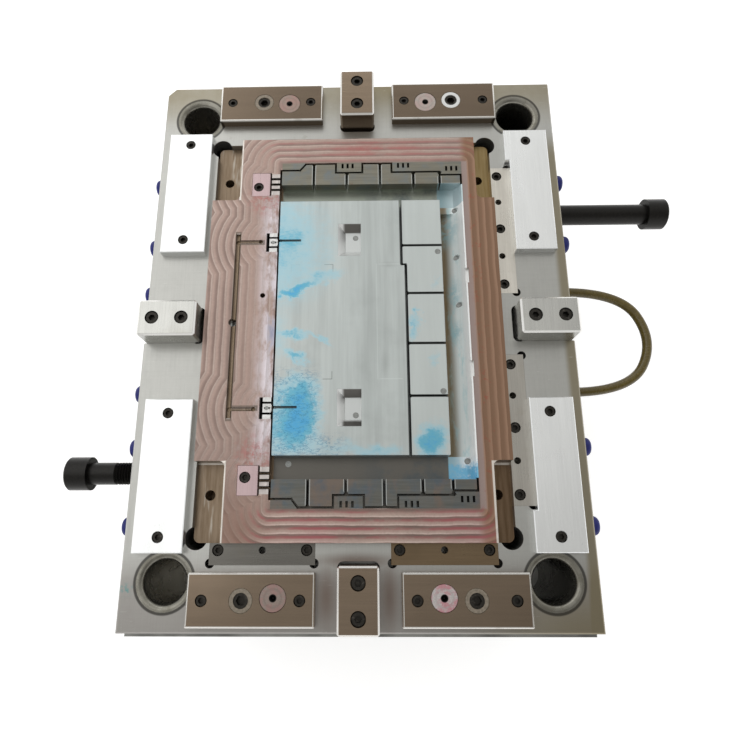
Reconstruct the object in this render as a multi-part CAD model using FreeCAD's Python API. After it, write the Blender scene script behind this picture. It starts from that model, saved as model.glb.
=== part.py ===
"""Moving half of an injection mould: plates, core insert, wedges, guides and ejection.

Millimetres. X runs across the plates, Y along them and Z up, out of the parting face.
The origin is the middle of the clamp plate's underside.
"""
import FreeCAD
import Part
import math
import os

V = FreeCAD.Vector
UP = V(0, 0, 1)

# ---------------------------------------------------------------- plate stack
plate_x = 450.0            # core plate, across
plate_y = 600.0            # core plate, along
core_plate_t = 130.0
spacer_h = 120.0
spacer_w = 68.0
clamp_over = 25.0          # the clamp plate stands out sideways for the machine's clamps
clamp_x = plate_x + 2 * clamp_over
clamp_t = 35.0
clamp_step = 1.0           # the clamping ledges are machined this far below the seat
top_z = clamp_t + spacer_h + core_plate_t
core_plate_foot = top_z - core_plate_t
base_bolt_y = plate_y / 2 - 100.0
plate_edge = 1.5           # chamfer round the core plate's top
corner_cut = 9.0           # the datum corner is cut off
front_land = 6.0           # the front side stands out below a narrow upper band
front_band = 24.0

# ---------------------------------------------------------------- ejection
stroke = 40.0              # ejector travel
button_h = 5.0
button_r = 10.0
button_x = 110.0
button_y = 120.0
ejector_gap = 7.0          # between the ejector plates and the spacers
ejector_x = plate_x - 2 * (spacer_w + ejector_gap)
ejector_t = 25.0
retainer_t = 20.0
ejector_screw_x = ejector_x / 2 - 15.0
ejector_screw_y = plate_y / 2 - 85.0
retainer_z = clamp_t + button_h + ejector_t
retainer_top = retainer_z + retainer_t
knockout_r = 25.0
pillar_r = 20.0
pillar_y = plate_y / 2 - 135.0
pillar_gap = 2.0
return_r = 12.5
return_y = plate_y / 2 - 31.7
return_head_r = 16.0
return_head_t = 8.0
spring_od = 46.0
spring_wire = 6.0
spring_turns = 8
spring_pocket = 40.0       # depth of the spring's pocket in the core plate
spring_gap = 1.5
pin_fit = 0.05             # radial running clearance of pins
pin_relief = 0.5           # radial clearance below the guided length
pin_land = 15.0            # guided length of an ejector pin
pin_head_t = 4.0
pin_head_over = 2.0

# ---------------------------------------------------------------- guides and locks
bush_x = plate_x / 2 - 42.3
bush_y = plate_y / 2 - 45.0
bush_bore_r = 20.0
bush_r = 27.0
bush_mouth = 5.0
bush_collar_t = 12.0
bush_collar_over = 2.0
rest_x0 = 40.0             # rest bars, inner end
rest_len = bush_x - 24.2 - rest_x0
rest_y0 = plate_y / 2 - 54.0
rest_w = 48.0
rest_h = 10.0
rest_screw_in = 14.0
rest_screw_y = rest_y0 + 24.5
rest_room = rest_len - 2 * rest_screw_in - 57.0  # left between the bar's screws, return pin and puller
return_x = rest_x0 + rest_screw_in + 17.5 + rest_room * 14 / 67
puller_x = return_x + 23.5 + rest_room * 12 / 67
puller_r = 11.0
puller_bore_r = 7.0
wear_out = plate_x / 2 - 11.5  # outer side of the wear bars
wear_w = 48.0
wear_len = 148.0
wear_y0 = plate_y / 2 - 219.0
wear_h = 10.0
wear_notch = 4.5           # the right bars are narrower beside the wedges
wear_notch_y = wear_y0 + 109.0
wear_screw_x = wear_out - 24.0
wear_screw_in = 14.5
lock_len = 59.0            # interlock blocks
lock_w = 38.0
lock_proud = 27.0
lock_sink = 24.0
lock_edge = 1.5            # distance from the plate's side to the block
lock_relief = 3.0          # pocket beyond the block's inner end
lock_pocket_r = 6.0
lock_chamfer = 2.0
lock_screw_in = 14.5
lock_screw_len = 65.0
lock_screw_gap = 30.0
seat_gap = 0.1             # side clearance of a block in its pocket

# ---------------------------------------------------------------- core insert
insert_cx = -5.0
insert_x = plate_x - 140.0
pillar_x = insert_x / 4 - 39.5
insert_y = plate_y - 160.0
insert_proud = 10.0
insert_sink = 85.0
insert_corner = 6.0
relief_r = 11.0            # corner reliefs of the insert pocket
relief_in = 8.0
heel_drop = 18.0           # corner heels lie this far below the parting face
heel_left = 30.0
heel_right = 19.0
heel_in = 77.0
heel_r = 6.0
lift_r = 5.1               # lifting threads in the corner heels
lift_dx = insert_x / 2 - 13.5
lift_dy = insert_y / 2 - 45.0
lift_depth = 25.0
block_x0 = insert_cx - insert_x / 2 + 76.0  # core block
block_x1 = insert_cx + insert_x / 2 - 60.5
block_y = insert_y / 2 - 81.5
block_proud = 14.0
block_sink = 40.0
groove_w = 2.2             # wall and rib grooves
groove_depth = 14.0
rib_w = 1.6
groove_x_upper = block_x1 - 43.1
groove_x_lower = block_x1 - 38.7
groove_jog_y = block_y - 76.5
cell_pitch = (block_y + 25.5) / 3
cell_lines = (block_y - 54.5, block_y - 54.5 - cell_pitch, block_y - 54.5 - 2 * cell_pitch, 58.5 - block_y)
window_x0 = (block_x0 + block_x1) / 2 - 23.75
window_x1 = window_x0 + 24.6
window_y0 = block_y - 66.0
window_y1 = block_y - 28.0
window_depth = 8.0
window_slope = 8.0
moat_floor = -4.0          # floor of the end channels, from the plate's top
row_y0 = block_y + 22.5
row_y1 = block_y + 49.0
row_left_y = row_y1 - 8.0    # the wall groove steps in at the row's left end
row_right_y = row_y1 - 15.5  # and at its right end
end_y = row_y1 + groove_w / 2        # outer side of the end blocks
trough_r = 25.0
trough_x1 = block_x1 + 25.1
end_x1 = trough_x1 + groove_w / 2    # right side of the end blocks and the trough bar
pad_y = block_y - 7.5
comb_inner_y = row_y1 - 11.5
comb_slot_w = 2.4
comb_slot_len = 6.0
rib_pitch = (block_x1 - block_x0 - 63.0) / 3
rib_lines = tuple(block_x0 + 35.5 + k * rib_pitch for k in range(4)) + (block_x1 + 1.5,)
rib_end_y = row_y0 - 4.0
tab_y = 51.0
tab_len = 17.0
tab_w = 2.8
runner_x = block_x0 - 45.0
runner_r = 2.6
runner_tail = 9.0
gate_x = block_x0 - 8.0
gate_y = block_y - 47.5
runner_reach = gate_y + 1.0
gate_len = 13.0
gate_w = 22.0
gate_t = 20.0
gate_slot = 1.8
gate_side = 5.7
gate_tip_x = block_x0 + 23.0
gate_pin_r = 2.0
latch_x = block_x0 - 23.0
latch_y = row_y0 + 1.0
latch_screw_in = (2.5, 3.0)  # its screw from the insert's middle, towards the corner
latch_len = 20.0
latch_w = 29.0
latch_t = 14.0
latch_slots = (-6.8, 0.0, 6.8)
sprue_r = 4.0
jack_x = block_x0 - 16.0
jack_y = 29.7
jack_r = 2.7
pin_r = 3.0
trough_pins = ((trough_x1 - 6.6, pad_y + 3.5), (trough_x1 - 7.1, window_y0 + 5.0), (trough_x1 - 6.6, 22.5),
               (trough_x1 - 6.6, -block_y - 4.3))
block_pins = ((block_x1 - 4.5, window_y0 + 4.0), (block_x1 - 4.5, -window_y0 - 3.0),
              (window_x1 - 5.8, window_y1 - 13.5), (window_x1 - 5.8, 12.5 - window_y1))
moat_pins = ((block_x0 + 14.5, -block_y - 6.5),)

# ---------------------------------------------------------------- wedges
wedge_w = 20.0
wedge_h = 32.0
wedge_taper = 5.0          # degrees, on the side away from the insert
side_wedge_y0 = 34.0
side_wedge_len = insert_y / 2 - side_wedge_y0 - 34.0
side_wedge_y = side_wedge_y0 + side_wedge_len / 2
side_wedge_screw = side_wedge_len / 2 - 10.5
side_wedge_jack = side_wedge_screw / 2
end_wedge_x = insert_x / 2 - 68.5  # from the insert's middle
end_wedge_len = insert_x / 2 - 54.0
end_wedge_screw = end_wedge_len / 2 - 8.1
wedge_screw_in = 6.5
wedge_screw_len = 40.0
wedge_relief_r = 4.5
wedge_jack_r = 3.4

# ---------------------------------------------------------------- side fittings
port_drop = 62.0
hose_y = 60.0
port_y = (insert_y / 2 - 16.0, 121.0, hose_y)
line_r = 5.0
port_r = 6.6
port_depth = 14.0
nipple_hex = 17.0
nipple_hex_t = 10.0
nipple_neck_r = 6.0
nipple_len = 21.0
cap_r = 10.0
cap_len = 14.0
cap_wall = 2.0
cap_round = 5.0
hose_r = 5.25
hose_bore_r = 3.5
barb_len = 18.0
hose_start = plate_x / 2 + 11.0
hose_route = ((hose_start + 69.0, hose_y), (hose_start + 105.0, -1.0), (hose_start + 67.0, -hose_y))
hoist_drop = 65.0
hoist_d = 24.0
hoist_head_d = 36.0
hoist_key = 19.0
hoist_pitch = 3.0
hoist_grip = 34.0
hoist_left_y = -port_y[1] - 27.0
hoist_left_len = 102.0
hoist_left_thread = 72.0
hoist_right_y = (port_y[0] + port_y[1]) / 2
hoist_right_len = 156.0
hoist_right_thread = 36.0

# ---------------------------------------------------------------- socket screws
# thread size: (head diameter, head height, key width)
screw_heads = {6: (10.0, 6.0, 5.0), 8: (13.0, 8.0, 6.0), 10: (16.0, 10.0, 8.0),
               12: (18.0, 12.0, 10.0), 16: (24.0, 16.0, 14.0)}
counterbore_gap = 0.5
thread_gap = 0.25


# ================================================================ helpers
def box(x0, x1, y0, y1, z0, z1):
    """Box between two opposite corners."""
    return Part.makeBox(x1 - x0, y1 - y0, z1 - z0, V(x0, y0, z0))


def rod(r, z0, z1, x=0.0, y=0.0):
    """Upright cylinder."""
    return Part.makeCylinder(r, z1 - z0, V(x, y, z0))


def rod_x(r, x0, x1, y, z):
    """Cylinder along X."""
    return Part.makeCylinder(r, x1 - x0, V(x0, y, z), V(1, 0, 0))


def prism(points, z0, z1):
    """Upright prism over a polygon of (x, y) points."""
    wire = Part.makePolygon([V(x, y, z0) for x, y in points] + [V(points[0][0], points[0][1], z0)])
    return Part.Face(wire).extrude(V(0, 0, z1 - z0))


def hexagon(across, z0, z1):
    """Upright hexagonal prism with the given width across flats."""
    r = across / math.sqrt(3.0)
    corners = [(r * math.cos(math.radians(60 * k)), r * math.sin(math.radians(60 * k))) for k in range(6)]
    return prism(corners, z0, z1)


def revolve(profile):
    """Body of revolution about Z from (radius, z) points."""
    wire = Part.makePolygon([V(r, 0, z) for r, z in profile] + [V(profile[0][0], 0, profile[0][1])])
    return Part.Face(wire).revolve(V(0, 0, 0), UP, 360)


def moved(shape, x=0.0, y=0.0, z=0.0):
    """Copy of a shape, shifted."""
    out = shape.copy()
    out.translate(V(x, y, z))
    return out


def along_x(shape, x, y, z, side):
    """Copy of a +Z shape laid along X, pointing outwards on that side."""
    out = shape.copy()
    out.rotate(V(0, 0, 0), V(0, 1, 0), 90 * side)
    out.translate(V(x, y, z))
    return out


def flipped(shape):
    """Copy of a shape mirrored front to back."""
    return shape.mirror(V(0, 0, 0), V(0, 1, 0))


def fuse(shapes):
    """One solid from several that touch or overlap."""
    return shapes[0].multiFuse(shapes[1:]).removeSplitter() if len(shapes) > 1 else shapes[0]


def cut(body, tools):
    """Body less every tool."""
    return body.cut(Part.makeCompound(tools)) if tools else body


def edges_at(shape, z, low=None):
    """Straight or curved edges that lie wholly in the plane of height z."""
    flat = [e for e in shape.Edges if abs(e.BoundBox.ZMin - z) < 1e-6 and abs(e.BoundBox.ZMax - z) < 1e-6]
    return [e for e in flat if low is None or e.Length > low]


def block(x0, x1, y0, y1, z0, z1, chamfer):
    """Ground block with its top edges and corners broken."""
    body = box(x0, x1, y0, y1, z0, z1)
    upright = [e for e in body.Edges if abs(e.BoundBox.ZMax - e.BoundBox.ZMin - (z1 - z0)) < 1e-6]
    return body.makeChamfer(chamfer, edges_at(body, z1) + upright)


def groove(points, width, z0, z1):
    """Groove of even width along a path, as tools to cut with."""
    tools = []
    for (xa, ya), (xb, yb) in zip(points, points[1:]):
        length = math.hypot(xb - xa, yb - ya)
        bar = box(-width / 2, length + width / 2, -width / 2, width / 2, z0, z1)
        bar.rotate(V(0, 0, 0), UP, math.degrees(math.atan2(yb - ya, xb - xa)))
        tools.append(moved(bar, xa, ya))
    return tools


def corners(x, y):
    """The four sign combinations of a place."""
    return [(sx * x, sy * y) for sy in (1, -1) for sx in (-1, 1)]


# ================================================================ screws
def socket_screw(size, length):
    """Cap screw with its head's top at z = 0 and its shank hanging down."""
    head_d, head_h, key = screw_heads[size]
    bevel = 0.08 * size
    head = revolve([(0, 0), (head_d / 2 - bevel, 0), (head_d / 2, -bevel), (head_d / 2, -head_h),
                    (size / 2, -head_h), (size / 2, -head_h - length + bevel),
                    (size / 2 - bevel, -head_h - length), (0, -head_h - length)])
    return head.cut(hexagon(key, -head_h * 0.55, 1.0))


def screw_holes(size, length, grip, top):
    """Counterbore, clearance hole and thread for a screw whose head's top is at z = 0.

    grip is the thickness of the clamped piece under the head; top is how far the
    counterbore reaches above the head.
    """
    head_d, head_h, _ = screw_heads[size]
    return (rod(head_d / 2 + counterbore_gap, -head_h, top),
            rod(size / 2 + thread_gap, -head_h - grip, -head_h + 1.0),
            rod(size / 2, -head_h - length, -head_h - grip + 1.0))


def place(shapes, spots, z):
    """Copies of some shapes at each (x, y) and one height."""
    return [moved(s, x, y, z) for x, y in spots for s in shapes]


# ================================================================ where the screws go
rest_spots = [(sx * (rest_x0 + d), sy * rest_screw_y) for sy in (1, -1) for sx in (-1, 1)
              for d in (rest_screw_in, rest_len - rest_screw_in)]
puller_spots = corners(puller_x, rest_screw_y)
wear_spots = [(sx * wear_screw_x, sy * (wear_y0 + d)) for sy in (1, -1) for sx in (-1, 1)
              for d in (wear_screw_in, wear_len - wear_screw_in)]
lock_out = (lock_edge + lock_screw_in, lock_edge + lock_screw_in + lock_screw_gap)
lock_spots = ([(0.0, sy * (plate_y / 2 - d)) for sy in (1, -1) for d in lock_out]
              + [(sx * (plate_x / 2 - d), 0.0) for sx in (-1, 1) for d in lock_out])
insert_x0 = insert_cx - insert_x / 2
insert_x1 = insert_cx + insert_x / 2
side_screw_x = insert_x1 + wedge_screw_in
end_screw_y = -insert_y / 2 - wedge_screw_in
side_wedge_spots = [(side_screw_x, sy * (side_wedge_y + d)) for sy in (1, -1)
                    for d in (side_wedge_screw, 0.0, -side_wedge_screw)]
end_wedge_spots = [(insert_cx + sx * end_wedge_x + d, end_screw_y) for sx in (-1, 1)
                   for d in (end_wedge_screw, -end_wedge_screw)]
wedge_jacks = ([(side_screw_x, sy * (side_wedge_y + d)) for sy in (1, -1)
                for d in (side_wedge_jack, -side_wedge_jack)]
               + [(insert_cx + sx * end_wedge_x, end_screw_y) for sx in (-1, 1)])
lift_spots = [(insert_cx + sx * lift_dx, sy * lift_dy) for sy in (1, -1) for sx in (-1, 1)]
latch_spots = [(latch_x - latch_screw_in[0], sy * (latch_y - latch_screw_in[1])) for sy in (1, -1)]
insert_bolt_spots = [(insert_cx + sx * (insert_x / 2 - 27.0), y) for sx in (-1, 1)
                     for y in (insert_y / 2 - 50.0, 25.0, 50.0 - insert_y / 2)]
base_spots = [(sx * (plate_x / 2 - spacer_w / 2), y) for sx in (-1, 1) for y in (base_bolt_y, 0.0, -base_bolt_y)]
ejector_screw_spots = corners(ejector_screw_x, ejector_screw_y)
pillar_spots = corners(pillar_x, pillar_y)
return_spots = corners(return_x, return_y)
button_spots = corners(button_x, button_y)
gate_spots = [(gate_x + 1.0, sy * gate_y) for sy in (1, -1)]
port_z = top_z - port_drop
hoist_z = top_z - hoist_drop
parting_z = top_z + insert_proud
block_top = top_z + block_proud
heel_z = parting_z - heel_drop
insert_z0 = top_z - insert_sink
rest_top = top_z + rest_h
wear_top = top_z + wear_h
wedge_top = top_z
lock_top = top_z + lock_proud

ejector_rods = ([(x, y, pin_r) for x, y in trough_pins + block_pins + moat_pins]
                + [(x, y, gate_pin_r) for x, y in gate_spots])


# ================================================================ core insert
def trough_tool():
    """Long hollow beside the cells: a quarter-round rising to the outer edge."""
    hollow = Part.makeCylinder(trough_r, 2 * row_y0, V(block_x1, -row_y0, block_top), V(0, 1, 0))
    return hollow.common(box(block_x1, trough_x1, -row_y0, row_y0, block_top - trough_r - 1, block_top + 5))


def wall_path(side):
    """Path of the product's wall groove at one end, from left to right."""
    x0 = block_x0 - groove_w / 2
    line = [(x0, 0.0), (x0, row_left_y), (-64.0, row_left_y), (-57.5, row_y1), (-24.0, row_y1),
            (-24.0, comb_inner_y), (5.5, comb_inner_y), (5.5, row_y1), (38.0, row_y1),
            (38.0, comb_inner_y), (91.5, comb_inner_y), (91.5, row_right_y), (trough_x1, row_right_y),
            (trough_x1, row_y0)]
    return [(x, side * y) for x, y in line]


def comb_tools(side, z0, z1):
    """Notches between the fingers of the three combs at one end."""
    tools = []
    for x0, outer, inner in ((-24.0, row_y1, comb_inner_y), (38.0, row_y1, comb_inner_y),
                             (91.5, row_right_y + 11.0, row_right_y)):
        for k in range(3):
            x = x0 + 7.4 + 5.6 * k
            y0, y1 = outer - comb_slot_len, outer
            tools.append(box(x - comb_slot_w / 2, x + comb_slot_w / 2,
                             min(side * y0, side * y1), max(side * y0, side * y1), z0, z1))
    return tools


def rib_tools(side, z0, z1):
    """Rib grooves across the end row, with a widened root."""
    tools = []
    for k, x in enumerate(rib_lines):
        root = comb_inner_y if k in (1, 3, 4) else row_y1
        tools += groove([(x, side * rib_end_y), (x, side * root)], rib_w, z0, z1)
        flare = [(x - 3.0, side * root), (x + 3.0, side * root), (x, side * (root - 5.0))]
        tools.append(prism(flare, z0, z1))
    return tools


def runner_tools():
    """Half-round runner with its branches and cold-slug tails."""
    reach = runner_reach + runner_tail
    main = Part.makeCylinder(runner_r, 2 * reach, V(runner_x, -reach, parting_z), V(0, 1, 0))
    tools = [main, rod(sprue_r, parting_z - 6.0, parting_z + 1, runner_x - 1.5, 0.0)]
    for side in (1, -1):
        end = gate_x - gate_len / 2 - 6.0
        tools.append(rod_x(runner_r * 0.75, runner_x, end, side * runner_reach, parting_z))
        tools.append(rod(runner_r * 0.9, parting_z - 4.0, parting_z + 1, end, side * runner_reach))
        tools.append(rod(runner_r * 0.9, parting_z - 4.0, parting_z + 1, runner_x, side * runner_reach))
    return tools


def heel(x0, x1, y0, y1):
    """Corner cut down to a heel, round at its inner corner."""
    body = box(x0, x1, y0, y1, heel_z, parting_z + 1)
    middle_x, middle_y = (x0 + x1) / 2, (y0 + y1) / 2
    inner = [e for e in body.Edges if abs(e.BoundBox.ZMax - e.BoundBox.ZMin) > 1
             and abs(e.BoundBox.XMin - insert_cx) < abs(middle_x - insert_cx)
             and abs(e.BoundBox.YMin) < abs(middle_y)]
    return body.makeFillet(heel_r, inner)


def heel_tools():
    """The four corner heels."""
    half = insert_y / 2
    tools = []
    for side in (1, -1):
        ya, yb = sorted((side * (half - heel_in), side * (half + 1)))
        tools.append(heel(insert_x0 - 1, insert_x0 + heel_left, ya, yb))
        tools.append(heel(insert_x1 - heel_right, insert_x1 + 1, ya, yb))
    return tools


def pin_holes(spots, head, foot):
    """Guided ejector holes, wider below the land."""
    tools = []
    for x, y, r in spots:
        tools.append(rod(r + pin_fit, head - pin_land, head + 30, x, y))
        tools.append(rod(r + pin_relief, foot, head - pin_land + 0.01, x, y))
    return tools


def latch_tools():
    """Seats and finger slots of the two latch inserts."""
    floor = parting_z - latch_t
    tools = []
    for side in (1, -1):
        y = side * latch_y
        x0, x1 = latch_x - latch_len / 2, latch_x + latch_len / 2
        tools.append(box(x0, x1, y - latch_w / 2, y + latch_w / 2, floor, parting_z + 1))
        tools.append(box(x1 - 0.5, x1 + gate_slot, y - latch_w / 2 + 1, y + latch_w / 2 - 1,
                         floor + 4, parting_z + 1))
        for d in latch_slots:
            tools.append(box(x1, block_x0 - 1.0, y + side * d - gate_slot / 2, y + side * d + gate_slot / 2,
                             floor + 4, parting_z + 1))
    return tools


def insert_lines():
    """Cooling lines bored straight through the insert."""
    return [rod_x(line_r, insert_x0 - 1, insert_x1 + 1, side * y, port_z) for y in port_y for side in (1, -1)]


def make_core_insert():
    """Core insert: frame, end rows, trough, runner and seats."""
    half = insert_y / 2
    body = box(insert_x0, insert_x1, -half, half, insert_z0, parting_z)
    upright = [e for e in body.Edges if abs(e.BoundBox.ZMax - e.BoundBox.ZMin) > 10]
    body = body.makeFillet(insert_corner, upright)
    seat = top_z - block_sink
    tools = heel_tools()
    tools.append(box(block_x0, end_x1, -end_y, end_y, seat, parting_z + 1))
    low = parting_z - groove_depth
    for side in (1, -1):
        tools += groove(wall_path(side)[:2], groove_w, low, parting_z + 1)
        tools.append(tab_slot(side))
        gate0, gate1 = side * gate_y - gate_w / 2, side * gate_y + gate_w / 2
        tools.append(box(gate_x - gate_len / 2, block_x0, gate0, gate1, parting_z - gate_t, parting_z + 1))
        tools.append(rod(gate_pin_r + pin_relief, insert_z0 - 1, parting_z, gate_x + 1.0, side * gate_y))
    tools += runner_tools() + latch_tools() + insert_lines()
    tools.append(rod(jack_r, parting_z - 20, parting_z + 1, jack_x, jack_y))
    tools.append(rod(sprue_r + pin_fit, insert_z0 - 1, parting_z, runner_x - 1.5, 0.0))
    tools += place([rod(lift_r, -lift_depth, 40.0)], lift_spots, heel_z)
    tools += place([rod(3.0, -12.0, 20.0)], latch_spots, parting_z - latch_t)
    tools += place([rod(6.0, -1.0, 24.0)], insert_bolt_spots, insert_z0)
    tools += [rod(pin_r + pin_relief, insert_z0 - 1, seat + 1, x, y) for x, y in trough_pins + block_pins + moat_pins]
    return cut(body, tools)


def tab_slot(side):
    """Short recess in the trough's outer edge."""
    y0, y1 = sorted((side * (tab_y - tab_len / 2), side * (tab_y + tab_len / 2)))
    return box(trough_x1 - 1, trough_x1 + tab_w, y0, y1, parting_z - 4, parting_z + 1)


def make_end_block(side):
    """End block: a channel beside the core block, then the row with its combs, ribs and wall groove."""
    seat, floor, low = top_z - block_sink, top_z + moat_floor, parting_z - groove_depth
    y0, y1 = sorted((side * block_y, side * end_y))
    body = box(block_x0, end_x1, y0, y1, seat, parting_z)
    c0, c1 = sorted((side * (block_y - 1), side * row_y0))
    tools = [box(block_x0 - 1, block_x1 + 1, c0, c1, floor, parting_z + 1),
             trough_tool().common(box(block_x1, trough_x1, c0, c1, floor, parting_z + 10))]
    tools += groove(wall_path(side)[1:], groove_w, low, parting_z + 1)
    tools += comb_tools(side, low, parting_z + 1)
    tools += rib_tools(side, low, parting_z + 1)
    tools += pin_holes([(x, y, pin_r) for x, y in moat_pins + trough_pins if y0 < y < y1], floor, seat - 1)
    return cut(body, tools)


def make_trough_bar():
    """Bar between the end blocks that carries the trough, the back pad's edge and two tab slots."""
    seat, floor = top_z - block_sink, top_z + moat_floor
    body = box(block_x1, end_x1, -block_y, block_y, seat, parting_z)
    pad = box(block_x1 - 1, trough_x1 + 1, pad_y, row_y0, seat, floor)
    tools = [trough_tool().cut(pad), tab_slot(1), tab_slot(-1)]
    tools += pin_holes([(x, y, pin_r) for x, y in trough_pins if abs(y) < block_y], block_top - trough_r + 8,
                       seat - 1)
    return cut(body, tools)


def window_tool(side):
    """Tapered rectangular window sunk into the core block."""
    floor = block_top - window_depth
    upper = Part.makePolygon([V(window_x0, window_y0, block_top), V(window_x1, window_y0, block_top),
                              V(window_x1, window_y1, block_top), V(window_x0, window_y1, block_top),
                              V(window_x0, window_y0, block_top)])
    xa, xb = window_x0 + window_slope, window_x1 - 0.6
    ya, yb = window_y0 + window_slope, window_y1 - window_slope
    lower = Part.makePolygon([V(xa, ya, floor), V(xb, ya, floor), V(xb, yb, floor), V(xa, yb, floor),
                              V(xa, ya, floor)])
    tool = Part.makeLoft([lower, upper], True)
    return tool if side > 0 else flipped(tool)


def make_core_block():
    """Bright core block: main field, five cells, rib grooves and two windows."""
    body = block(block_x0, block_x1, -block_y, block_y, top_z - block_sink, block_top, 0.5)
    low = block_top - groove_depth
    line = [(groove_x_upper, block_y + 1), (groove_x_upper, groove_jog_y),
            (groove_x_lower, groove_jog_y), (groove_x_lower, -block_y - 1)]
    tools = groove(line, groove_w, low, block_top + 1)
    for y in cell_lines:
        x0 = groove_x_upper if y > groove_jog_y else groove_x_lower
        tools += groove([(x0, y), (block_x1 + 1, y)], rib_w, low, block_top + 1)
        tools.append(prism([(x0, y - 3.0), (x0 + 4.5, y), (x0, y + 3.0)], low, block_top + 1))
    for side in (1, -1):
        tools.append(window_tool(side))
        tools.append(rod_x(gate_slot / 2, block_x0 - 1, gate_tip_x, side * gate_y, block_top))
        tools.append(box(block_x0 - 1, block_x0 + 3, side * gate_y - 1.5, side * gate_y + 1.5,
                         parting_z - 2, block_top + 1))
    tools += pin_holes([(x, y, pin_r) for x, y in block_pins], block_top - window_depth,
                       top_z - block_sink - 1)
    return cut(body, tools)


def make_gate_insert(side):
    """Small gate block beside the wall groove, split by its slots."""
    x0, x1 = gate_x - gate_len / 2, block_x0 - groove_w
    y = side * gate_y
    body = box(x0, x1, y - gate_w / 2, y + gate_w / 2, parting_z - gate_t, parting_z)
    low = parting_z - gate_t + 6.0
    tools = [box(x0 + 1.2, x0 + 1.2 + gate_slot, y - gate_w / 2 - 1, y + gate_w / 2 + 1, low, parting_z + 1)]
    for d in (gate_side, -gate_side):
        tools.append(box(x0 + 1.2, x1 + 1, y + d - gate_slot / 2, y + d + gate_slot / 2, low, parting_z + 1))
    tools.append(rod_x(gate_slot / 2, gate_x + 1.0, x1 + 1, y, parting_z))
    tools += pin_holes([(gate_x + 1.0, y, gate_pin_r)], parting_z, parting_z - gate_t - 1)
    return cut(body, tools)


def make_latch_insert(side):
    """Bolted latch block at one end of the left side."""
    y = side * latch_y
    body = block(latch_x - latch_len / 2, latch_x + latch_len / 2, y - latch_w / 2, y + latch_w / 2,
                 parting_z - latch_t, parting_z, 0.4)
    tools = place(screw_holes(6, 14.0, latch_t - 7.0, 2.0), [s for s in latch_spots if s[1] * side > 0],
                  parting_z - 1.0)
    return cut(body, tools)


# ================================================================ wedges
def wedge_section(length, gap):
    """Wedge along Y with its upright face on x = 0 and its taper outwards."""
    foot = wedge_w - wedge_h * math.tan(math.radians(wedge_taper))
    outline = [V(0, 0, 0), V(wedge_w + gap, 0, 0), V(foot + gap, 0, -wedge_h), V(0, 0, -wedge_h), V(0, 0, 0)]
    bar = Part.Face(Part.makePolygon(outline)).extrude(V(0, length + 2 * gap, 0))
    return moved(bar, 0, -length / 2 - gap, 0)


def wedge_sets(gap):
    """The wedges in place, as (name, solid)."""
    out = []
    for name, y in (("upper", side_wedge_y), ("lower", -side_wedge_y)):
        out.append(("wedge_side_" + name, moved(wedge_section(side_wedge_len, gap), insert_x1, y, wedge_top)))
    for name, sx in (("left", -1), ("right", 1)):
        bar = wedge_section(end_wedge_len, gap)
        bar.rotate(V(0, 0, 0), UP, -90)
        out.append(("wedge_end_" + name,
                    moved(bar, insert_cx + sx * end_wedge_x, -insert_y / 2, wedge_top)))
    return out


def wedge_pockets():
    """Seats of the wedges, with round reliefs in their outer corners."""
    tools = [moved(s, z=0.0) for _, s in wedge_sets(seat_gap)]
    outer = insert_x1 + wedge_w - 1.5
    for sy in (1, -1):
        for end in (1, -1):
            y = sy * side_wedge_y + end * (side_wedge_len / 2 - 1.0)
            tools.append(rod(wedge_relief_r, wedge_top - wedge_h, wedge_top + 1, outer, y))
    for sx in (1, -1):
        for end in (1, -1):
            x = insert_cx + sx * end_wedge_x + end * (end_wedge_len / 2 - 1.0)
            tools.append(rod(wedge_relief_r, wedge_top - wedge_h, wedge_top + 1, x,
                             -insert_y / 2 - wedge_w + 1.5))
    return tools


def make_wedge(shape):
    """Wedge with its screw holes and jacking threads."""
    tools = place(screw_holes(6, wedge_screw_len, wedge_h - 7.0, 2.0), side_wedge_spots + end_wedge_spots,
                  wedge_top - 1.0)
    tools += place([rod(wedge_jack_r, -wedge_h - 1, 1.0)], wedge_jacks, wedge_top)
    return cut(shape, tools)


# ================================================================ guides, bars and locks
def make_guide_bush(x, y):
    """Guide bush with a collar at its foot and a rounded mouth."""
    foot = top_z - core_plate_t
    body = rod(bush_r, foot, top_z, x, y).fuse(rod(bush_r + bush_collar_over, foot,
                                                   foot + bush_collar_t, x, y)).removeSplitter()
    body = body.cut(rod(bush_bore_r, foot - 1, top_z + 1, x, y))
    mouth = [e for e in edges_at(body, top_z) if abs(e.Length - 2 * math.pi * bush_bore_r) < 0.01]
    return body.makeFillet(bush_mouth, mouth)


def bush_tools():
    """Bores for the guide bushes."""
    foot = top_z - core_plate_t
    return place([rod(bush_r, -1.0, core_plate_t + 1), rod(bush_r + bush_collar_over, -1.0, bush_collar_t)],
                 corners(bush_x, bush_y), foot)


def make_rest_bar(sx, sy):
    """Rest bar over a return pin, with its screws and the friction puller."""
    xa, xb = sorted((sx * rest_x0, sx * (rest_x0 + rest_len)))
    ya, yb = sorted((sy * rest_y0, sy * (rest_y0 + rest_w)))
    body = block(xa, xb, ya, yb, top_z, rest_top, 1.0)
    tools = place(screw_holes(6, 16.0, rest_h - 6.5, 2.0), rest_spots, rest_top - 0.5)
    tools.append(rod(return_r + pin_fit, top_z - 1, rest_top + 1, sx * return_x, sy * return_y))
    tools.append(rod(puller_r, top_z - 1, rest_top + 1, sx * puller_x, sy * rest_screw_y))
    return cut(body, tools)


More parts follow.
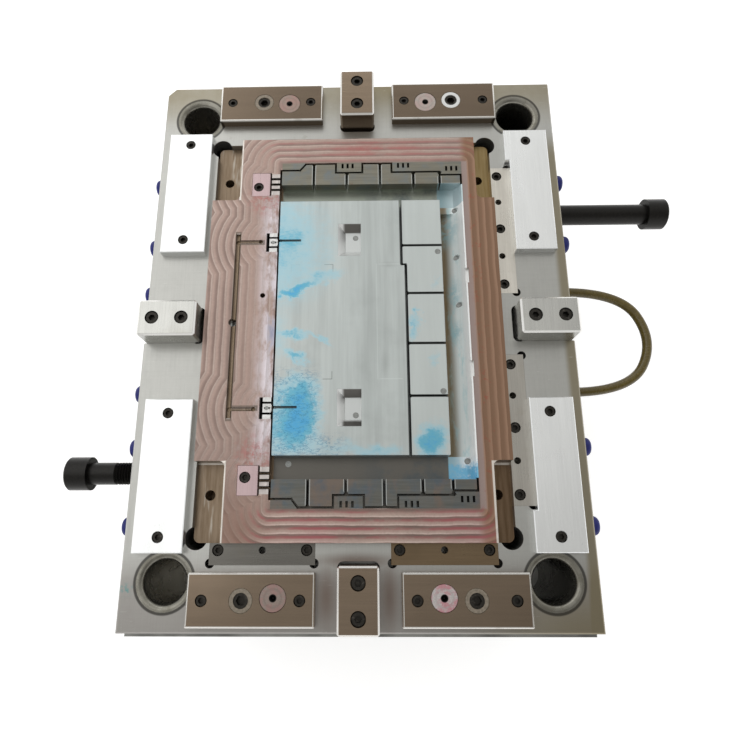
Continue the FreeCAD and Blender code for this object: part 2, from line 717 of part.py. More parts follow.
def wear_outline(sx, sy):
    """Wear bar before its edges are broken; the right ones are stepped beside the wedges."""
    inner = wear_out - wear_w
    step = inner + wear_notch if sx > 0 else inner
    y0, y1 = wear_y0, wear_y0 + wear_len
    plan = [(step, y0), (wear_out, y0), (wear_out, y1), (inner, y1)]
    if sx > 0:
        plan += [(inner, wear_notch_y), (step, wear_notch_y)]
    return prism([(sx * x, sy * y) for x, y in plan], top_z, wear_top)


def make_wear_bar(sx, sy):
    """Ground wear bar screwed on the plate."""
    body = wear_outline(sx, sy)
    body = body.makeChamfer(0.8, edges_at(body, wear_top))
    return cut(body, place(screw_holes(6, 16.0, wear_h - 6.5, 2.0), wear_spots, wear_top - 0.5))


def lock_place(k):
    """Centre of an interlock block, and whether it lies along X."""
    d = plate_y / 2 - lock_edge - lock_len / 2
    e = plate_x / 2 - lock_edge - lock_len / 2
    return ((0.0, d, False), (0.0, -d, False), (-e, 0.0, True), (e, 0.0, True))[k]


def make_lock(k):
    """Interlock block with broken edges and two screws."""
    x, y, flat = lock_place(k)
    hx, hy = (lock_len / 2, lock_w / 2) if flat else (lock_w / 2, lock_len / 2)
    body = block(x - hx, x + hx, y - hy, y + hy, top_z - lock_sink, lock_top, lock_chamfer)
    return cut(body, place(screw_holes(8, lock_screw_len, lock_proud + lock_sink - 9.0, 2.0), lock_spots, lock_top - 1.0))


def lock_pocket(k):
    """Open-ended pocket of an interlock, round in its inner corners."""
    x, y, flat = lock_place(k)
    hx, hy = (lock_len / 2, lock_w / 2) if flat else (lock_w / 2, lock_len / 2)
    body = box(x - hx - seat_gap, x + hx + seat_gap, y - hy - seat_gap, y + hy + seat_gap,
               top_z - lock_sink, top_z + 1)
    side = 1 if x + y > 0 else -1
    reach = lock_relief + lock_pocket_r
    r = lock_pocket_r
    if flat:
        inner = x - side * (hx + lock_relief)
        end = box(min(inner, inner + side * reach), max(inner, inner + side * reach), y - hy - 1.0, y + hy + 1.0,
                  top_z - lock_sink, top_z + 1)
        out = box(min(x, side * (plate_x / 2 + 1)), max(x, side * (plate_x / 2 + 1)), y - hy - seat_gap,
                  y + hy + seat_gap, top_z - lock_sink, top_z + 1)
    else:
        inner = y - side * (hy + lock_relief)
        end = box(x - hx - 1.0, x + hx + 1.0, min(inner, inner + side * reach), max(inner, inner + side * reach),
                  top_z - lock_sink, top_z + 1)
        out = box(x - hx - seat_gap, x + hx + seat_gap, min(y, side * (plate_y / 2 + front_land + 1)),
                  max(y, side * (plate_y / 2 + front_land + 1)), top_z - lock_sink, top_z + 1)
    upright = [e for e in end.Edges if abs(e.BoundBox.ZMax - e.BoundBox.ZMin) > 10
               and abs((e.BoundBox.XMin if flat else e.BoundBox.YMin) - inner) < 0.01]
    return [body, end.makeFillet(r, upright), out]


# ================================================================ core plate
def insert_pocket():
    """Pocket of the core insert with its four corner reliefs."""
    half = insert_y / 2
    tools = [box(insert_x0, insert_x1, -half, half, insert_z0, top_z + 1)]
    for x, sx in ((insert_x0, 1), (insert_x1, -1)):
        for sy in (1, -1):
            tools.append(rod(relief_r, insert_z0, top_z + 1, x + sx * relief_in * 0.55, sy * (half - relief_in * 0.55)))
    return tools


def port_tools():
    """Threaded water ports and their lines into the insert pocket."""
    tools = []
    for y in port_y:
        for sy in (1, -1):
            tools.append(rod_x(line_r, -plate_x / 2 - 1, insert_x0 + 1, sy * y, port_z))
            tools.append(rod_x(line_r, insert_x1 - 1, plate_x / 2 + 1, sy * y, port_z))
            tools.append(rod_x(port_r, -plate_x / 2 - 1, -plate_x / 2 + port_depth, sy * y, port_z))
            tools.append(rod_x(port_r, plate_x / 2 - port_depth, plate_x / 2 + 1, sy * y, port_z))
    return tools


def make_core_plate():
    """Core plate with every pocket, bore and thread that it carries."""
    foot = top_z - core_plate_t
    hx, hy = plate_x / 2, plate_y / 2
    body = box(-hx, hx, -hy, hy, foot, top_z)
    datum = [e for e in body.Edges if e.BoundBox.XMax < -hx + 1 and e.BoundBox.YMin > hy - 1]
    body = body.makeChamfer(corner_cut, datum)
    body = body.makeChamfer(plate_edge, edges_at(body, top_z))
    body = body.fuse(box(-hx, hx, -hy - front_land, -hy + 1, foot, top_z - front_band)).removeSplitter()
    tools = insert_pocket() + wedge_pockets() + bush_tools() + port_tools()
    for k in range(4):
        tools += lock_pocket(k)
    tools += place([rod(return_r + pin_fit, foot + spring_pocket, top_z + 1),
                    rod(spring_od / 2 + spring_gap, foot - 1, foot + spring_pocket)], return_spots, 0.0)
    tools += place(screw_holes(6, 16.0, rest_h - 6.5, 2.0)[2:], rest_spots, rest_top - 0.5)
    tools += place([rod(6.0, -30.0, 1.0)], puller_spots, top_z)
    tools += place(screw_holes(6, 16.0, wear_h - 6.5, 2.0)[2:], wear_spots, wear_top - 0.5)
    tools += place(screw_holes(8, lock_screw_len, lock_proud + lock_sink - 9.0, 2.0)[2:], lock_spots, lock_top - 1.0)
    tools += place(screw_holes(6, wedge_screw_len, wedge_h - 7.0, 2.0)[2:], side_wedge_spots + end_wedge_spots,
                   wedge_top - 1.0)
    tools += place([rod(6.0 + thread_gap, 0.0, 60.0), rod(9.5, -1.0, 13.0)], insert_bolt_spots, foot)
    tools += place([rod(8.0, -1.0, 32.0)], base_spots, foot)
    tools += [rod(r + pin_relief, foot - 1, insert_z0 + 1, x, y) for x, y, r in ejector_rods]
    tools.append(rod(sprue_r + pin_relief, foot - 1, insert_z0 + 1, runner_x - 1.5, 0.0))
    for x0, y, side in ((-hx, hoist_left_y, 1), (hx, hoist_right_y, -1)):
        tools.append(rod_x(hoist_d / 2, min(x0 - side, x0 + side * hoist_grip),
                           max(x0 - side, x0 + side * hoist_grip), y, hoist_z))
    return cut(body, tools)


# ================================================================ base and ejector plates
def make_clamp_plate():
    """Clamp plate with the knock-out bore, screw counterbores and button seats."""
    body = block(-clamp_x / 2, clamp_x / 2, -plate_y / 2, plate_y / 2, 0, clamp_t, 1.0)
    tools = [rod(knockout_r, -1, clamp_t + 1)]
    tools += [box(min(sx * plate_x / 2, sx * clamp_x), max(sx * plate_x / 2, sx * clamp_x), -plate_y, plate_y,
                  clamp_t - clamp_step, clamp_t + 1) for sx in (-1, 1)]
    tools += place([rod(12.5, -1.0, 17.0), rod(8.5, -1.0, clamp_t + 1)], base_spots, 0.0)
    tools += place([rod(3.0, clamp_t - 8.0, clamp_t + 1)], button_spots, 0.0)
    tools += place([rod(8.5, -1.0, 11.0), rod(5.5, -1.0, clamp_t + 1)], pillar_spots, 0.0)
    return cut(body, tools)


def make_spacer(sx):
    """Spacer block under one side of the core plate."""
    xa, xb = sorted((sx * (plate_x / 2 - spacer_w), sx * plate_x / 2))
    body = box(xa, xb, -plate_y / 2, plate_y / 2, clamp_t, clamp_t + spacer_h)
    return cut(body, place([rod(8.5, -1.0, spacer_h + 1)], base_spots, clamp_t))


def make_ejector_plate():
    """Lower ejector plate, threaded in the middle for the knock-out rod."""
    z0 = clamp_t + button_h
    body = box(-ejector_x / 2, ejector_x / 2, -plate_y / 2, plate_y / 2, z0, retainer_z)
    tools = [rod(8.0, z0 - 1, retainer_z + 1)]
    tools += place([rod(pillar_r + pillar_gap, z0 - 1, retainer_z + 1)], pillar_spots, 0.0)
    tools += place([rod(8.5, -1.0, 11.0), rod(5.25, -1.0, ejector_t + 1)], ejector_screw_spots, z0)
    return cut(body, tools)


def make_retainer_plate():
    """Upper ejector plate, holding the heads of the pins."""
    body = box(-ejector_x / 2, ejector_x / 2, -plate_y / 2, plate_y / 2, retainer_z, retainer_top)
    tools = place([rod(pillar_r + pillar_gap, retainer_z - 1, retainer_top + 1)], pillar_spots, 0.0)
    tools += place([rod(5.0, -1.0, 17.0)], ejector_screw_spots, retainer_z)
    tools += place([rod(return_r + thread_gap, -1.0, retainer_t + 1),
                    rod(return_head_r + thread_gap, -1.0, return_head_t)], return_spots, retainer_z)
    for x, y, r in ejector_rods + [(runner_x - 1.5, 0.0, sprue_r)]:
        tools.append(rod(r + thread_gap, retainer_z - 1, retainer_top + 1, x, y))
        tools.append(rod(r + pin_head_over + thread_gap, retainer_z - 1, retainer_z + pin_head_t, x, y))
    return cut(body, tools)


# ================================================================ moving pins and springs
def headed_pin(r, head_r, head_t, x, y, top):
    """Pin standing on the ejector plate."""
    return fuse([rod(r, retainer_z, top, x, y), rod(head_r, retainer_z, retainer_z + head_t, x, y)])


def trough_height(x):
    """Height of the trough's surface at a place across it."""
    return block_top - math.sqrt(trough_r ** 2 - (x - block_x1) ** 2)


def make_ejector_pins():
    """Ejector pins, flush with the surfaces that they push on."""
    window_floor = block_top - window_depth
    out = []
    for x, y in trough_pins:
        floor = max(trough_height(x - pin_r), trough_height(x) - 1.5)
        if abs(y) > pad_y:
            floor = max(floor, top_z + moat_floor)
        out.append((x, y, pin_r, floor))
    out += [(x, y, pin_r, window_floor if x < 0 else block_top) for x, y in block_pins]
    out += [(x, y, pin_r, top_z + moat_floor) for x, y in moat_pins]
    out += [(x, y, gate_pin_r, parting_z - 0.2) for x, y in gate_spots]
    return [headed_pin(r, r + pin_head_over, pin_head_t, x, y, top) for x, y, r, top in out]


def make_sprue_puller():
    """Sprue puller with an undercut head."""
    x, top = runner_x - 1.5, parting_z - 5.0
    pin = headed_pin(sprue_r, sprue_r + pin_head_over, pin_head_t, x, 0.0, top)
    return cut(pin, [box(x - 1.2, x + sprue_r + 1, -sprue_r - 1, sprue_r + 1, top - 5, top + 1)])


def make_return_pin(x, y):
    """Return pin with a centre hole in its end."""
    pin = headed_pin(return_r, return_head_r, return_head_t, x, y, rest_top)
    centre = Part.makeCone(0.6, 2.8, 3.0, V(x, y, rest_top - 2.9))
    pin = pin.cut(centre)
    rim = [e for e in edges_at(pin, rest_top) if e.Length > 2 * math.pi * (return_r - 1)]
    return pin.makeChamfer(0.6, rim)


def make_spring(x, y):
    """Return spring round a return pin, closed flat at neither end."""
    z0 = retainer_top + spring_wire / 2
    height = core_plate_foot + spring_pocket - retainer_top - spring_wire
    radius = (spring_od - spring_wire) / 2
    helix = Part.makeHelix(height / spring_turns, height, radius)
    section = Part.Wire(Part.makeCircle(spring_wire / 2, V(radius, 0, 0), V(0, 1, 0)))
    coil = Part.Wire(helix).makePipeShell([section], True, True)
    return moved(coil, x, y, z0)


# ================================================================ side fittings
def make_nipple():
    """Water nipple along +Z, with its thread below z = 0."""
    body = fuse([rod(port_r, -port_depth + 1, 0.0), hexagon(nipple_hex, 0.0, nipple_hex_t),
                 rod(nipple_neck_r, nipple_hex_t - 0.5, nipple_len)])
    return body.cut(rod(3.0, -port_depth, nipple_len + 1))


def make_cap():
    """Soft cap over a nipple's end, domed outside."""
    z0 = nipple_hex_t + 2.0
    body = rod(cap_r, z0, z0 + cap_len)
    body = body.makeFillet(cap_round, edges_at(body, z0 + cap_len))
    return body.cut(rod(nipple_neck_r, z0 - 1, nipple_len))


def make_barb():
    """Hose tail along +Z: thread, hexagon and tail inside the hose."""
    collar = hose_start - plate_x / 2
    body = fuse([rod(port_r, -port_depth + 1, 0.0), hexagon(nipple_hex, 0.0, collar),
                 rod(hose_bore_r, collar - 0.5, collar + barb_len)])
    return body.cut(rod(2.2, -port_depth, collar + barb_len + 1))


def rounded_path(points):
    """Straight runs joined by the largest tangent arcs that their lengths allow."""
    pts = [V(*p) for p in points]
    edges, start, radii = [], pts[0], []
    for a, b, c in zip(pts, pts[1:], pts[2:]):
        into, out = (b - a).normalize(), (c - b).normalize()
        half = into.getAngle(out) / 2
        trim = 0.45 * min((b - a).Length, (c - b).Length)
        radii.append(trim / math.tan(half))
        t0, t1 = b - into * trim, b + out * trim
        inward = (out - into).normalize()
        middle = b + inward * (radii[-1] / math.cos(half) - radii[-1])
        edges += [Part.LineSegment(start, t0).toShape(), Part.Arc(t0, middle, t1).toShape()]
        start = t1
    edges.append(Part.LineSegment(start, pts[-1]).toShape())
    print("hose radii", [round(r, 1) for r in radii])
    return Part.Wire(edges)


def make_hose():
    """Hose looping from one water port to the next."""
    ends = [(hose_start, hose_y, port_z), (hose_start, -hose_y, port_z)]
    path = rounded_path([ends[0]] + [(x, y, port_z) for x, y in hose_route] + [ends[1]])
    start = V(*ends[0])

    def tube(r):
        ring = Part.Wire(Part.makeCircle(r, start, V(1, 0, 0)))
        return Part.Wire(path.Edges).makePipeShell([ring], True, False)

    hose = tube(hose_r).cut(tube(hose_bore_r))
    expect = path.Length * math.pi * (hose_r ** 2 - hose_bore_r ** 2)
    print("hose length %.1f, volume ratio %.4f" % (path.Length, hose.Volume / expect))
    return hose


def make_hoist_screw(length, thread):
    """Large cap screw left in a lifting thread; head at +Z, under-head face at z = length."""
    r, crest = hoist_d / 2, 0.6 * hoist_pitch
    profile = [(0, 0), (r - crest, 0)]
    turns = int(thread / hoist_pitch)
    for k in range(turns):
        z = (k + 0.5) * hoist_pitch
        profile += [(r, z), (r - crest, z + hoist_pitch / 2)]
    head_r = hoist_head_d / 2
    profile += [(r, turns * hoist_pitch + crest), (r, length), (head_r, length), (head_r, length + hoist_d - 1.5),
                (head_r - 1.5, length + hoist_d), (0, length + hoist_d)]
    return revolve(profile).cut(hexagon(hoist_key, length + hoist_d * 0.5, length + hoist_d + 1))


# ================================================================ assembly
def screws(size, length, spots, z):
    """A group of like screws."""
    return place([socket_screw(size, length)], spots, z)


def socket_screw_up(size, length):
    """Cap screw from below: its head's underside end at z = 0, shank up."""
    out = socket_screw(size, length)
    out.rotate(V(0, 0, 0), V(1, 0, 0), 180)
    return out


def make_puller_sleeves():
    """Sleeves of the friction pullers, flush with the rest bars."""
    ring = rod(puller_r, 0.0, rest_h).cut(rod(puller_bore_r, -1.0, rest_h + 1))
    ring = ring.makeChamfer(0.5, [e for e in edges_at(ring, rest_h) if e.Length > 2 * math.pi * (puller_r - 1)])
    return place([ring], puller_spots, top_z)


def make_puller_screws():
    """Socket screws that spread the friction pullers."""
    head = fuse([rod(puller_bore_r - thread_gap, 0.5, rest_h - 1.0), rod(6.0, -28.0, 0.6)])
    head = head.cut(hexagon(8.0, rest_h - 6.0, rest_h + 1))
    return place([head], puller_spots, top_z)


def make_buttons():
    """Stop buttons under the ejector plate."""
    button = fuse([rod(button_r, clamp_t, clamp_t + button_h), rod(3.0, clamp_t - 7.5, clamp_t + 0.5)])
    return place([button], button_spots, 0.0)


def make_pillars():
    """Support pillars between the clamp plate and the core plate."""
    pillar = rod(pillar_r, clamp_t, clamp_t + spacer_h).cut(rod(5.0, clamp_t - 1, clamp_t + 22.0))
    return place([pillar], pillar_spots, 0.0)


def side_fittings():
    """Capped nipples, hose tails, hose and lifting screws."""
    half = plate_x / 2
    left = [(-half, sy * y, -1) for y in port_y for sy in (1, -1)]
    right = [(half, sy * y, 1) for y in port_y[:2] for sy in (1, -1)]
    nipple, cap = make_nipple(), make_cap()
    return {
        "water_nipples": [along_x(nipple, x, y, port_z, s) for x, y, s in left + right],
        "nipple_caps": [along_x(cap, x, y, port_z, s) for x, y, s in left + right],
        "hose_tails": [along_x(make_barb(), half, sy * hose_y, port_z, 1) for sy in (1, -1)],
        "hose": [make_hose()],
        "hoist_screw_left": [along_x(make_hoist_screw(hoist_left_len, hoist_left_thread),
                                     -half + hoist_grip, hoist_left_y, hoist_z, -1)],
        "hoist_screw_right": [along_x(make_hoist_screw(hoist_right_len, hoist_right_thread),
                                      half - hoist_grip, hoist_right_y, hoist_z, 1)],
    }


def build():
    """Every node of the mould half, as lists of solids."""
    corner_names = ("back_left", "back_right", "front_left", "front_right")
    signs = ((-1, 1), (1, 1), (-1, -1), (1, -1))
    nodes = {
        "core_plate": [make_core_plate()],
        "clamp_plate": [make_clamp_plate()],
        "spacer_block_left": [make_spacer(-1)],
        "spacer_block_right": [make_spacer(1)],
        "ejector_plate": [make_ejector_plate()],
        "ejector_retainer_plate": [make_retainer_plate()],
        "core_insert": [make_core_insert()],
        "core_block": [make_core_block()],
        "end_block_back": [make_end_block(1)],
        "end_block_front": [make_end_block(-1)],
        "trough_bar": [make_trough_bar()],
        "gate_insert_back": [make_gate_insert(1)],
        "gate_insert_front": [make_gate_insert(-1)],
        "latch_insert_back": [make_latch_insert(1)],
        "latch_insert_front": [make_latch_insert(-1)],
    }
    for name, (sx, sy) in zip(corner_names, signs):
        nodes["guide_bush_" + name] = [make_guide_bush(sx * bush_x, sy * bush_y)]
        nodes["rest_bar_" + name] = [make_rest_bar(sx, sy)]
        nodes["wear_bar_" + name] = [make_wear_bar(sx, sy)]
        nodes["return_pin_" + name] = [make_return_pin(sx * return_x, sy * return_y)]
    for k, name in enumerate(("back", "front", "left", "right")):
        nodes["interlock_" + name] = [make_lock(k)]
    for name, shape in wedge_sets(0.0):
        nodes[name] = [make_wedge(shape)]
    nodes.update({
        "return_springs": [make_spring(x, y) for x, y in return_spots],
        "ejector_pins": make_ejector_pins(),
        "sprue_puller": [make_sprue_puller()],
        "puller_sleeves": make_puller_sleeves(),
        "puller_screws": make_puller_screws(),
        "bar_screws": screws(6, 16.0, rest_spots + wear_spots, rest_top - 0.5),
        "interlock_screws": screws(8, lock_screw_len, lock_spots, lock_top - 1.0),
        "wedge_screws": screws(6, wedge_screw_len, side_wedge_spots + end_wedge_spots, wedge_top - 1.0),
        "latch_screws": screws(6, 14.0, latch_spots, parting_z - 1.0),
        "insert_bolts": place([socket_screw_up(12, 54.0)], insert_bolt_spots, core_plate_foot + 0.5),
        "base_bolts": place([socket_screw_up(16, clamp_t + spacer_h + 13.0)], base_spots, 0.5),
        "ejector_plate_screws": place([socket_screw_up(10, 30.0)], ejector_screw_spots, clamp_t + button_h + 0.5),
        "pillar_screws": place([socket_screw_up(10, 45.0)], pillar_spots, 0.5),
        "stop_buttons": make_buttons(),
        "support_pillars": make_pillars(),
    })
    nodes.update(side_fittings())
    return nodes


def main():
    """Write one STEP file per node."""
    os.makedirs("parts", exist_ok=True)
    for name, solids in build().items():
        shape = solids[0] if len(solids) == 1 else Part.makeCompound(solids)
        for solid in shape.Solids:
            assert solid.isValid(), name
        print("%-26s %2d solids %8.1f cm3" % (name, len(shape.Solids), shape.Volume / 1000.0))
        shape.exportStep("parts/%s.step" % name)


main()
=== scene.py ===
"""Looks of an injection mould's moving half: machined steel, dyed core, fittings and stage."""
import copy
import math

import bpy
from mathutils import Matrix, Vector


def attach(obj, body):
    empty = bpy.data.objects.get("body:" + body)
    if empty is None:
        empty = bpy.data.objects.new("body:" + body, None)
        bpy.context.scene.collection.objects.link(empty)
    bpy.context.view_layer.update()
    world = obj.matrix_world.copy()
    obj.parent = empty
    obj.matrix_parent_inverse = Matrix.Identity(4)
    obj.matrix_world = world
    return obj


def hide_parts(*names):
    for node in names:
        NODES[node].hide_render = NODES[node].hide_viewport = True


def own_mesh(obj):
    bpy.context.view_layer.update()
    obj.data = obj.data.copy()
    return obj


bl_info = {
    "name": "Injection Mould Half",
    "version": (1, 0, 0),
    "blender": (4, 5, 0),
    "location": "3D View > Sidebar > Mould",
    "description": "Finishes the steel, dye, hose and stage of a mould half",
    "category": "Object",
}

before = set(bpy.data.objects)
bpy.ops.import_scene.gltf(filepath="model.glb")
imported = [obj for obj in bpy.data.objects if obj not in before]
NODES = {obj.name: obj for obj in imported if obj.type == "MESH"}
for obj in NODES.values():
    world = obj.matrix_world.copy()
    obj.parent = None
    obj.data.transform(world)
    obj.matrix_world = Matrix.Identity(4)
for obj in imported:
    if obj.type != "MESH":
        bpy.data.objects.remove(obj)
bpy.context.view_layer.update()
CORNERS = ("back_left", "back_right", "front_left", "front_right")
# places and sizes on the mould in millimetres, from the middle of the plate
PARTING_MM = 295.0                  # height of the parting face
BORE_SPOT = (182.7, 255.0)          # middle of a guide bore
PIN_SPOT = (78.5, 268.3)            # middle of a return pin
BAR_SPOT, BAR_HALF = (99.25, 270.0), (59.25, 24.0)      # middle and half size of a rest bar
LOCK_SPOT, LOCK_HALF = (194.0, 269.0), (29.5, 19.0)     # interlocks: distance out, half depth and half width
GATE_X, GATE_Y = -91.0, 91.0        # middle of a gate insert
LATCH_Y = 162.0                     # middle of a latch's slots
CELL_X, CELL_JOG = 50.8, 4.4        # long groove beside the cells, and how far it steps over at the back
CELL_LINES = (84.0, 29.333, -25.333, -80.0)
RIB_GROOVES = ((-48.5, 186.5), (-12.0, 172.5), (25.0, 186.5), (62.0, 172.5), (91.0, 170.0))    # place and reach
# in metres
HOSE_ROUTE = ((0.236, 0.060), (0.305, 0.060), (0.337, -0.001), (0.303, -0.060), (0.236, -0.060))
HOSE_HEIGHT = 0.223
KNURL_IN, KNURL_LENGTH, KNURL_SINK = 0.0115, 0.018, 0.0004
FLOOR_HALF, FLOOR_GLOW = 4.0, 0.56
SOFTBOXES = (
    ("softbox_left", (-1.05, 0.95, 1.75), (1.2, 2.8), 6.5),
    ("softbox_back", (0.10, 1.75, 1.45), (1.6, 0.7), 3.0),
)
CAMERA_AT = (
    (0.999821, 0.006361, 0.017844, 0.008849),
    (-0.001279, 0.962452, -0.271448, -0.210120),
    (-0.018901, 0.271376, 0.962288, 0.875629),
    (0.000000, 0.000000, 0.000000, 1.000000),
)
CAMERA_SHIFT = (0.01239, -0.00085)


# ---- shader arithmetic
class Wire:
    """A socket of a node tree that takes part in plain arithmetic."""

    def __init__(self, tree, socket):
        self.tree = tree
        self.socket = socket

    def make(self, kind, settings=None, values=None, out=0):
        """Add a node, set its settings first, then its sockets, and return one output."""
        node = self.tree.nodes.new(kind)
        for key, value in (settings or {}).items():
            setattr(node, key, value)
        for key, value in (values or {}).items():
            if isinstance(value, Wire):
                self.tree.links.new(value.socket, node.inputs[key])
            elif value is not None:
                node.inputs[key].default_value = value
        return Wire(self.tree, node.outputs[out])

    def maths(self, operation, *others):
        return self.make("ShaderNodeMath", {"operation": operation}, dict(enumerate((self,) + others)))

    def __add__(self, other):
        return self.maths("ADD", other)

    __radd__ = __add__

    def __mul__(self, other):
        return self.maths("MULTIPLY", other)

    __rmul__ = __mul__

    def __sub__(self, other):
        return self.maths("SUBTRACT", other)

    def __rsub__(self, other):
        return self.make("ShaderNodeMath", {"operation": "SUBTRACT"}, {0: other, 1: self})

    def __pow__(self, other):
        return self.maths("POWER", other)

    def __abs__(self):
        return self.maths("ABSOLUTE")

    def least(self, other):
        return self.maths("MINIMUM", other)

    def most(self, other):
        return self.maths("MAXIMUM", other)

    def step(self, low, high):
        """0 below low, 1 above high and smooth between; low may be the larger."""
        return self.make("ShaderNodeMapRange", {"interpolation_type": "SMOOTHSTEP"},
                         {"Value": self, "From Min": low, "From Max": high})

    def mix(self, first, second):
        """Colour that goes from first to second as this mask goes from 0 to 1."""
        return self.make("ShaderNodeMix", {"data_type": "RGBA"},
                         {"Factor": self, 6: paint(first), 7: paint(second)}, 2)

    def xyz(self):
        """The three parts of a vector."""
        split = self.make("ShaderNodeSeparateXYZ", None, {"Vector": self})
        return [Wire(self.tree, s) for s in split.socket.node.outputs]


def paint(colour):
    """A colour as a socket takes it."""
    return colour if isinstance(colour, Wire) else tuple(colour[:3]) + (1.0,)


# ---- steel finishes
class Finish:
    """A procedural material under way, with its place on the mould in millimetres."""

    def __init__(self, name):
        self.material = bpy.data.materials.new(name)
        self.material.use_nodes = True
        self.tree = self.material.node_tree
        self.shader = self.tree.nodes["Principled BSDF"]
        start = Wire(self.tree, None).make("ShaderNodeTexCoord", out="Object")
        self.point = start.make("ShaderNodeVectorMath", {"operation": "SCALE"}, {0: start, "Scale": 1000.0})
        self.x, self.y, height = self.point.xyz()
        self.z = height - PARTING_MM

    def cloud(self, size, detail=3.0, rough=0.55, stretch=(1.0, 1.0, 1.0), shift=0.0):
        """Soft noise from 0 to 1 whose lumps are size millimetres, drawn out by stretch."""
        scale = tuple(1.0 / (size * s) for s in stretch)
        spot = self.point.make("ShaderNodeMapping", None,
                               {"Vector": self.point, "Location": (shift, shift * 0.7, shift * 1.3), "Scale": scale})
        return spot.make("ShaderNodeTexNoise", None,
                         {"Vector": spot, "Scale": 1.0, "Detail": detail, "Roughness": rough}, "Fac")

    def blot(self, x, y, rx, ry, turn=0.0):
        """Soft round stain: 1 at its middle, 0 past its rim."""
        c, s = math.cos(math.radians(turn)), math.sin(math.radians(turn))
        dx, dy = self.x - x, self.y - y
        u = (dx * c + dy * s) * (1.0 / rx)
        v = (dy * c - dx * s) * (1.0 / ry)
        return ((u * u + v * v) ** 0.5).step(1.0, 0.0)

    def warped(self, dx, dy):
        """The same finish seen through a shifted place, for ragged edges."""
        other = copy.copy(self)
        other.x, other.y = self.x + dx, self.y + dy
        return other

    def rim(self, x0, x1, y0, y1, width=1.7, soft=0.35):
        """1 on a narrow band just inside a rectangle's outline."""
        inner = self.inside(x0 + width, x1 - width, y0 + width, y1 - width, soft)
        return self.inside(x0, x1, y0, y1, soft) * (1.0 - inner)

    def inside(self, x0, x1, y0, y1, soft=0.4):
        """1 inside a rectangle, 0 outside."""
        wide, deep = (x1 - x0) / 2, (y1 - y0) / 2
        dx = abs(self.x - (x0 + x1) / 2) - wide
        dy = abs(self.y - (y0 + y1) / 2) - deep
        return dx.most(dy).step(soft, -soft)

    def pair(self, x0, x1, y0, y1, soft=0.4):
        """1 inside a rectangle or its mirror image at the front, 0 outside."""
        return self.inside(x0, x1, y0, y1, soft).most(self.inside(x0, x1, -y1, -y0, soft))

    def done(self, colour, rough, metal=0.9, bump=None, height=0.02, **constants):
        """Wire the finish up; bump is a height from 0 to 1 over height millimetres."""
        for key, value in (("Base Color", colour), ("Roughness", rough), ("Metallic", metal)):
            if isinstance(value, Wire):
                self.tree.links.new(value.socket, self.shader.inputs[key])
            else:
                self.shader.inputs[key].default_value = paint(value) if key == "Base Color" else value
        if bump is not None:
            normal = bump.make("ShaderNodeBump", None, {"Height": bump, "Strength": 1.0, "Distance": height / 1000.0})
            self.tree.links.new(normal.socket, self.shader.inputs["Normal"])
        for key, value in constants.items():
            self.shader.inputs[key.replace("_", " ").title()].default_value = value
        return self.material


def dress(material, *names):
    """Give a finish to CAD nodes."""
    for name in names:
        mesh = NODES[name].data
        mesh.materials.clear()
        mesh.materials.append(material)


def shade(colour, by):
    """A colour made lighter or darker."""
    return tuple(min(1.0, c * by) for c in colour[:3])


def ground_steel(name, colour, along, rough=0.26, contrast=0.12, metal=0.92, stain=(0.30, 0.26, 0.20), stained=0.25,
                 edges=(), top=0.0, edge=(0.86, 0.85, 0.82)):
    """Surface-ground steel: fine lines along one axis, faint smudges and oil, and a painted highlight in pieces along
    the top rims of given outlines.
    """
    f = Finish(name)
    stretch = (60.0, 1.0, 1.0) if along == "x" else (1.0, 60.0, 1.0)
    lines = f.cloud(1.1, 4, 0.7, stretch)
    broad = f.cloud(9, 2, 0.5, (8, 1, 1) if along == "x" else (1, 8, 1), 31)
    smudge = f.cloud(38, 4, 0.6, shift=7)
    tone = (lines * 0.6 + broad * 0.4).step(0.3, 0.7)
    steel = tone.mix(shade(colour, 1.0 - contrast), shade(colour, 1.0 + contrast * 0.6))
    specks = f.cloud(2.2, 2, 0.5, shift=3).step(0.70, 0.78)
    steel = (smudge.step(0.52, 0.78) * stained).mix(steel, stain)
    steel = (specks * 0.35).mix(steel, shade(colour, 0.45))
    # painted highlight: a bright band just inside the top rim of each outline, broken up by the smudges
    if edges:
        bright = f.rim(*edges[0])
        for sides in edges[1:]:
            bright = bright.most(f.rim(*sides))
        bright = bright * f.z.step(top - 2.6, top - 1.8) * smudge.step(0.1, 0.45)
        steel = (bright * 0.85).mix(steel, edge)
    return f.done(steel, smudge * 0.16 + lines * 0.10 + (rough - 0.12), metal, lines * 0.7 + broad * 0.3, 0.006)


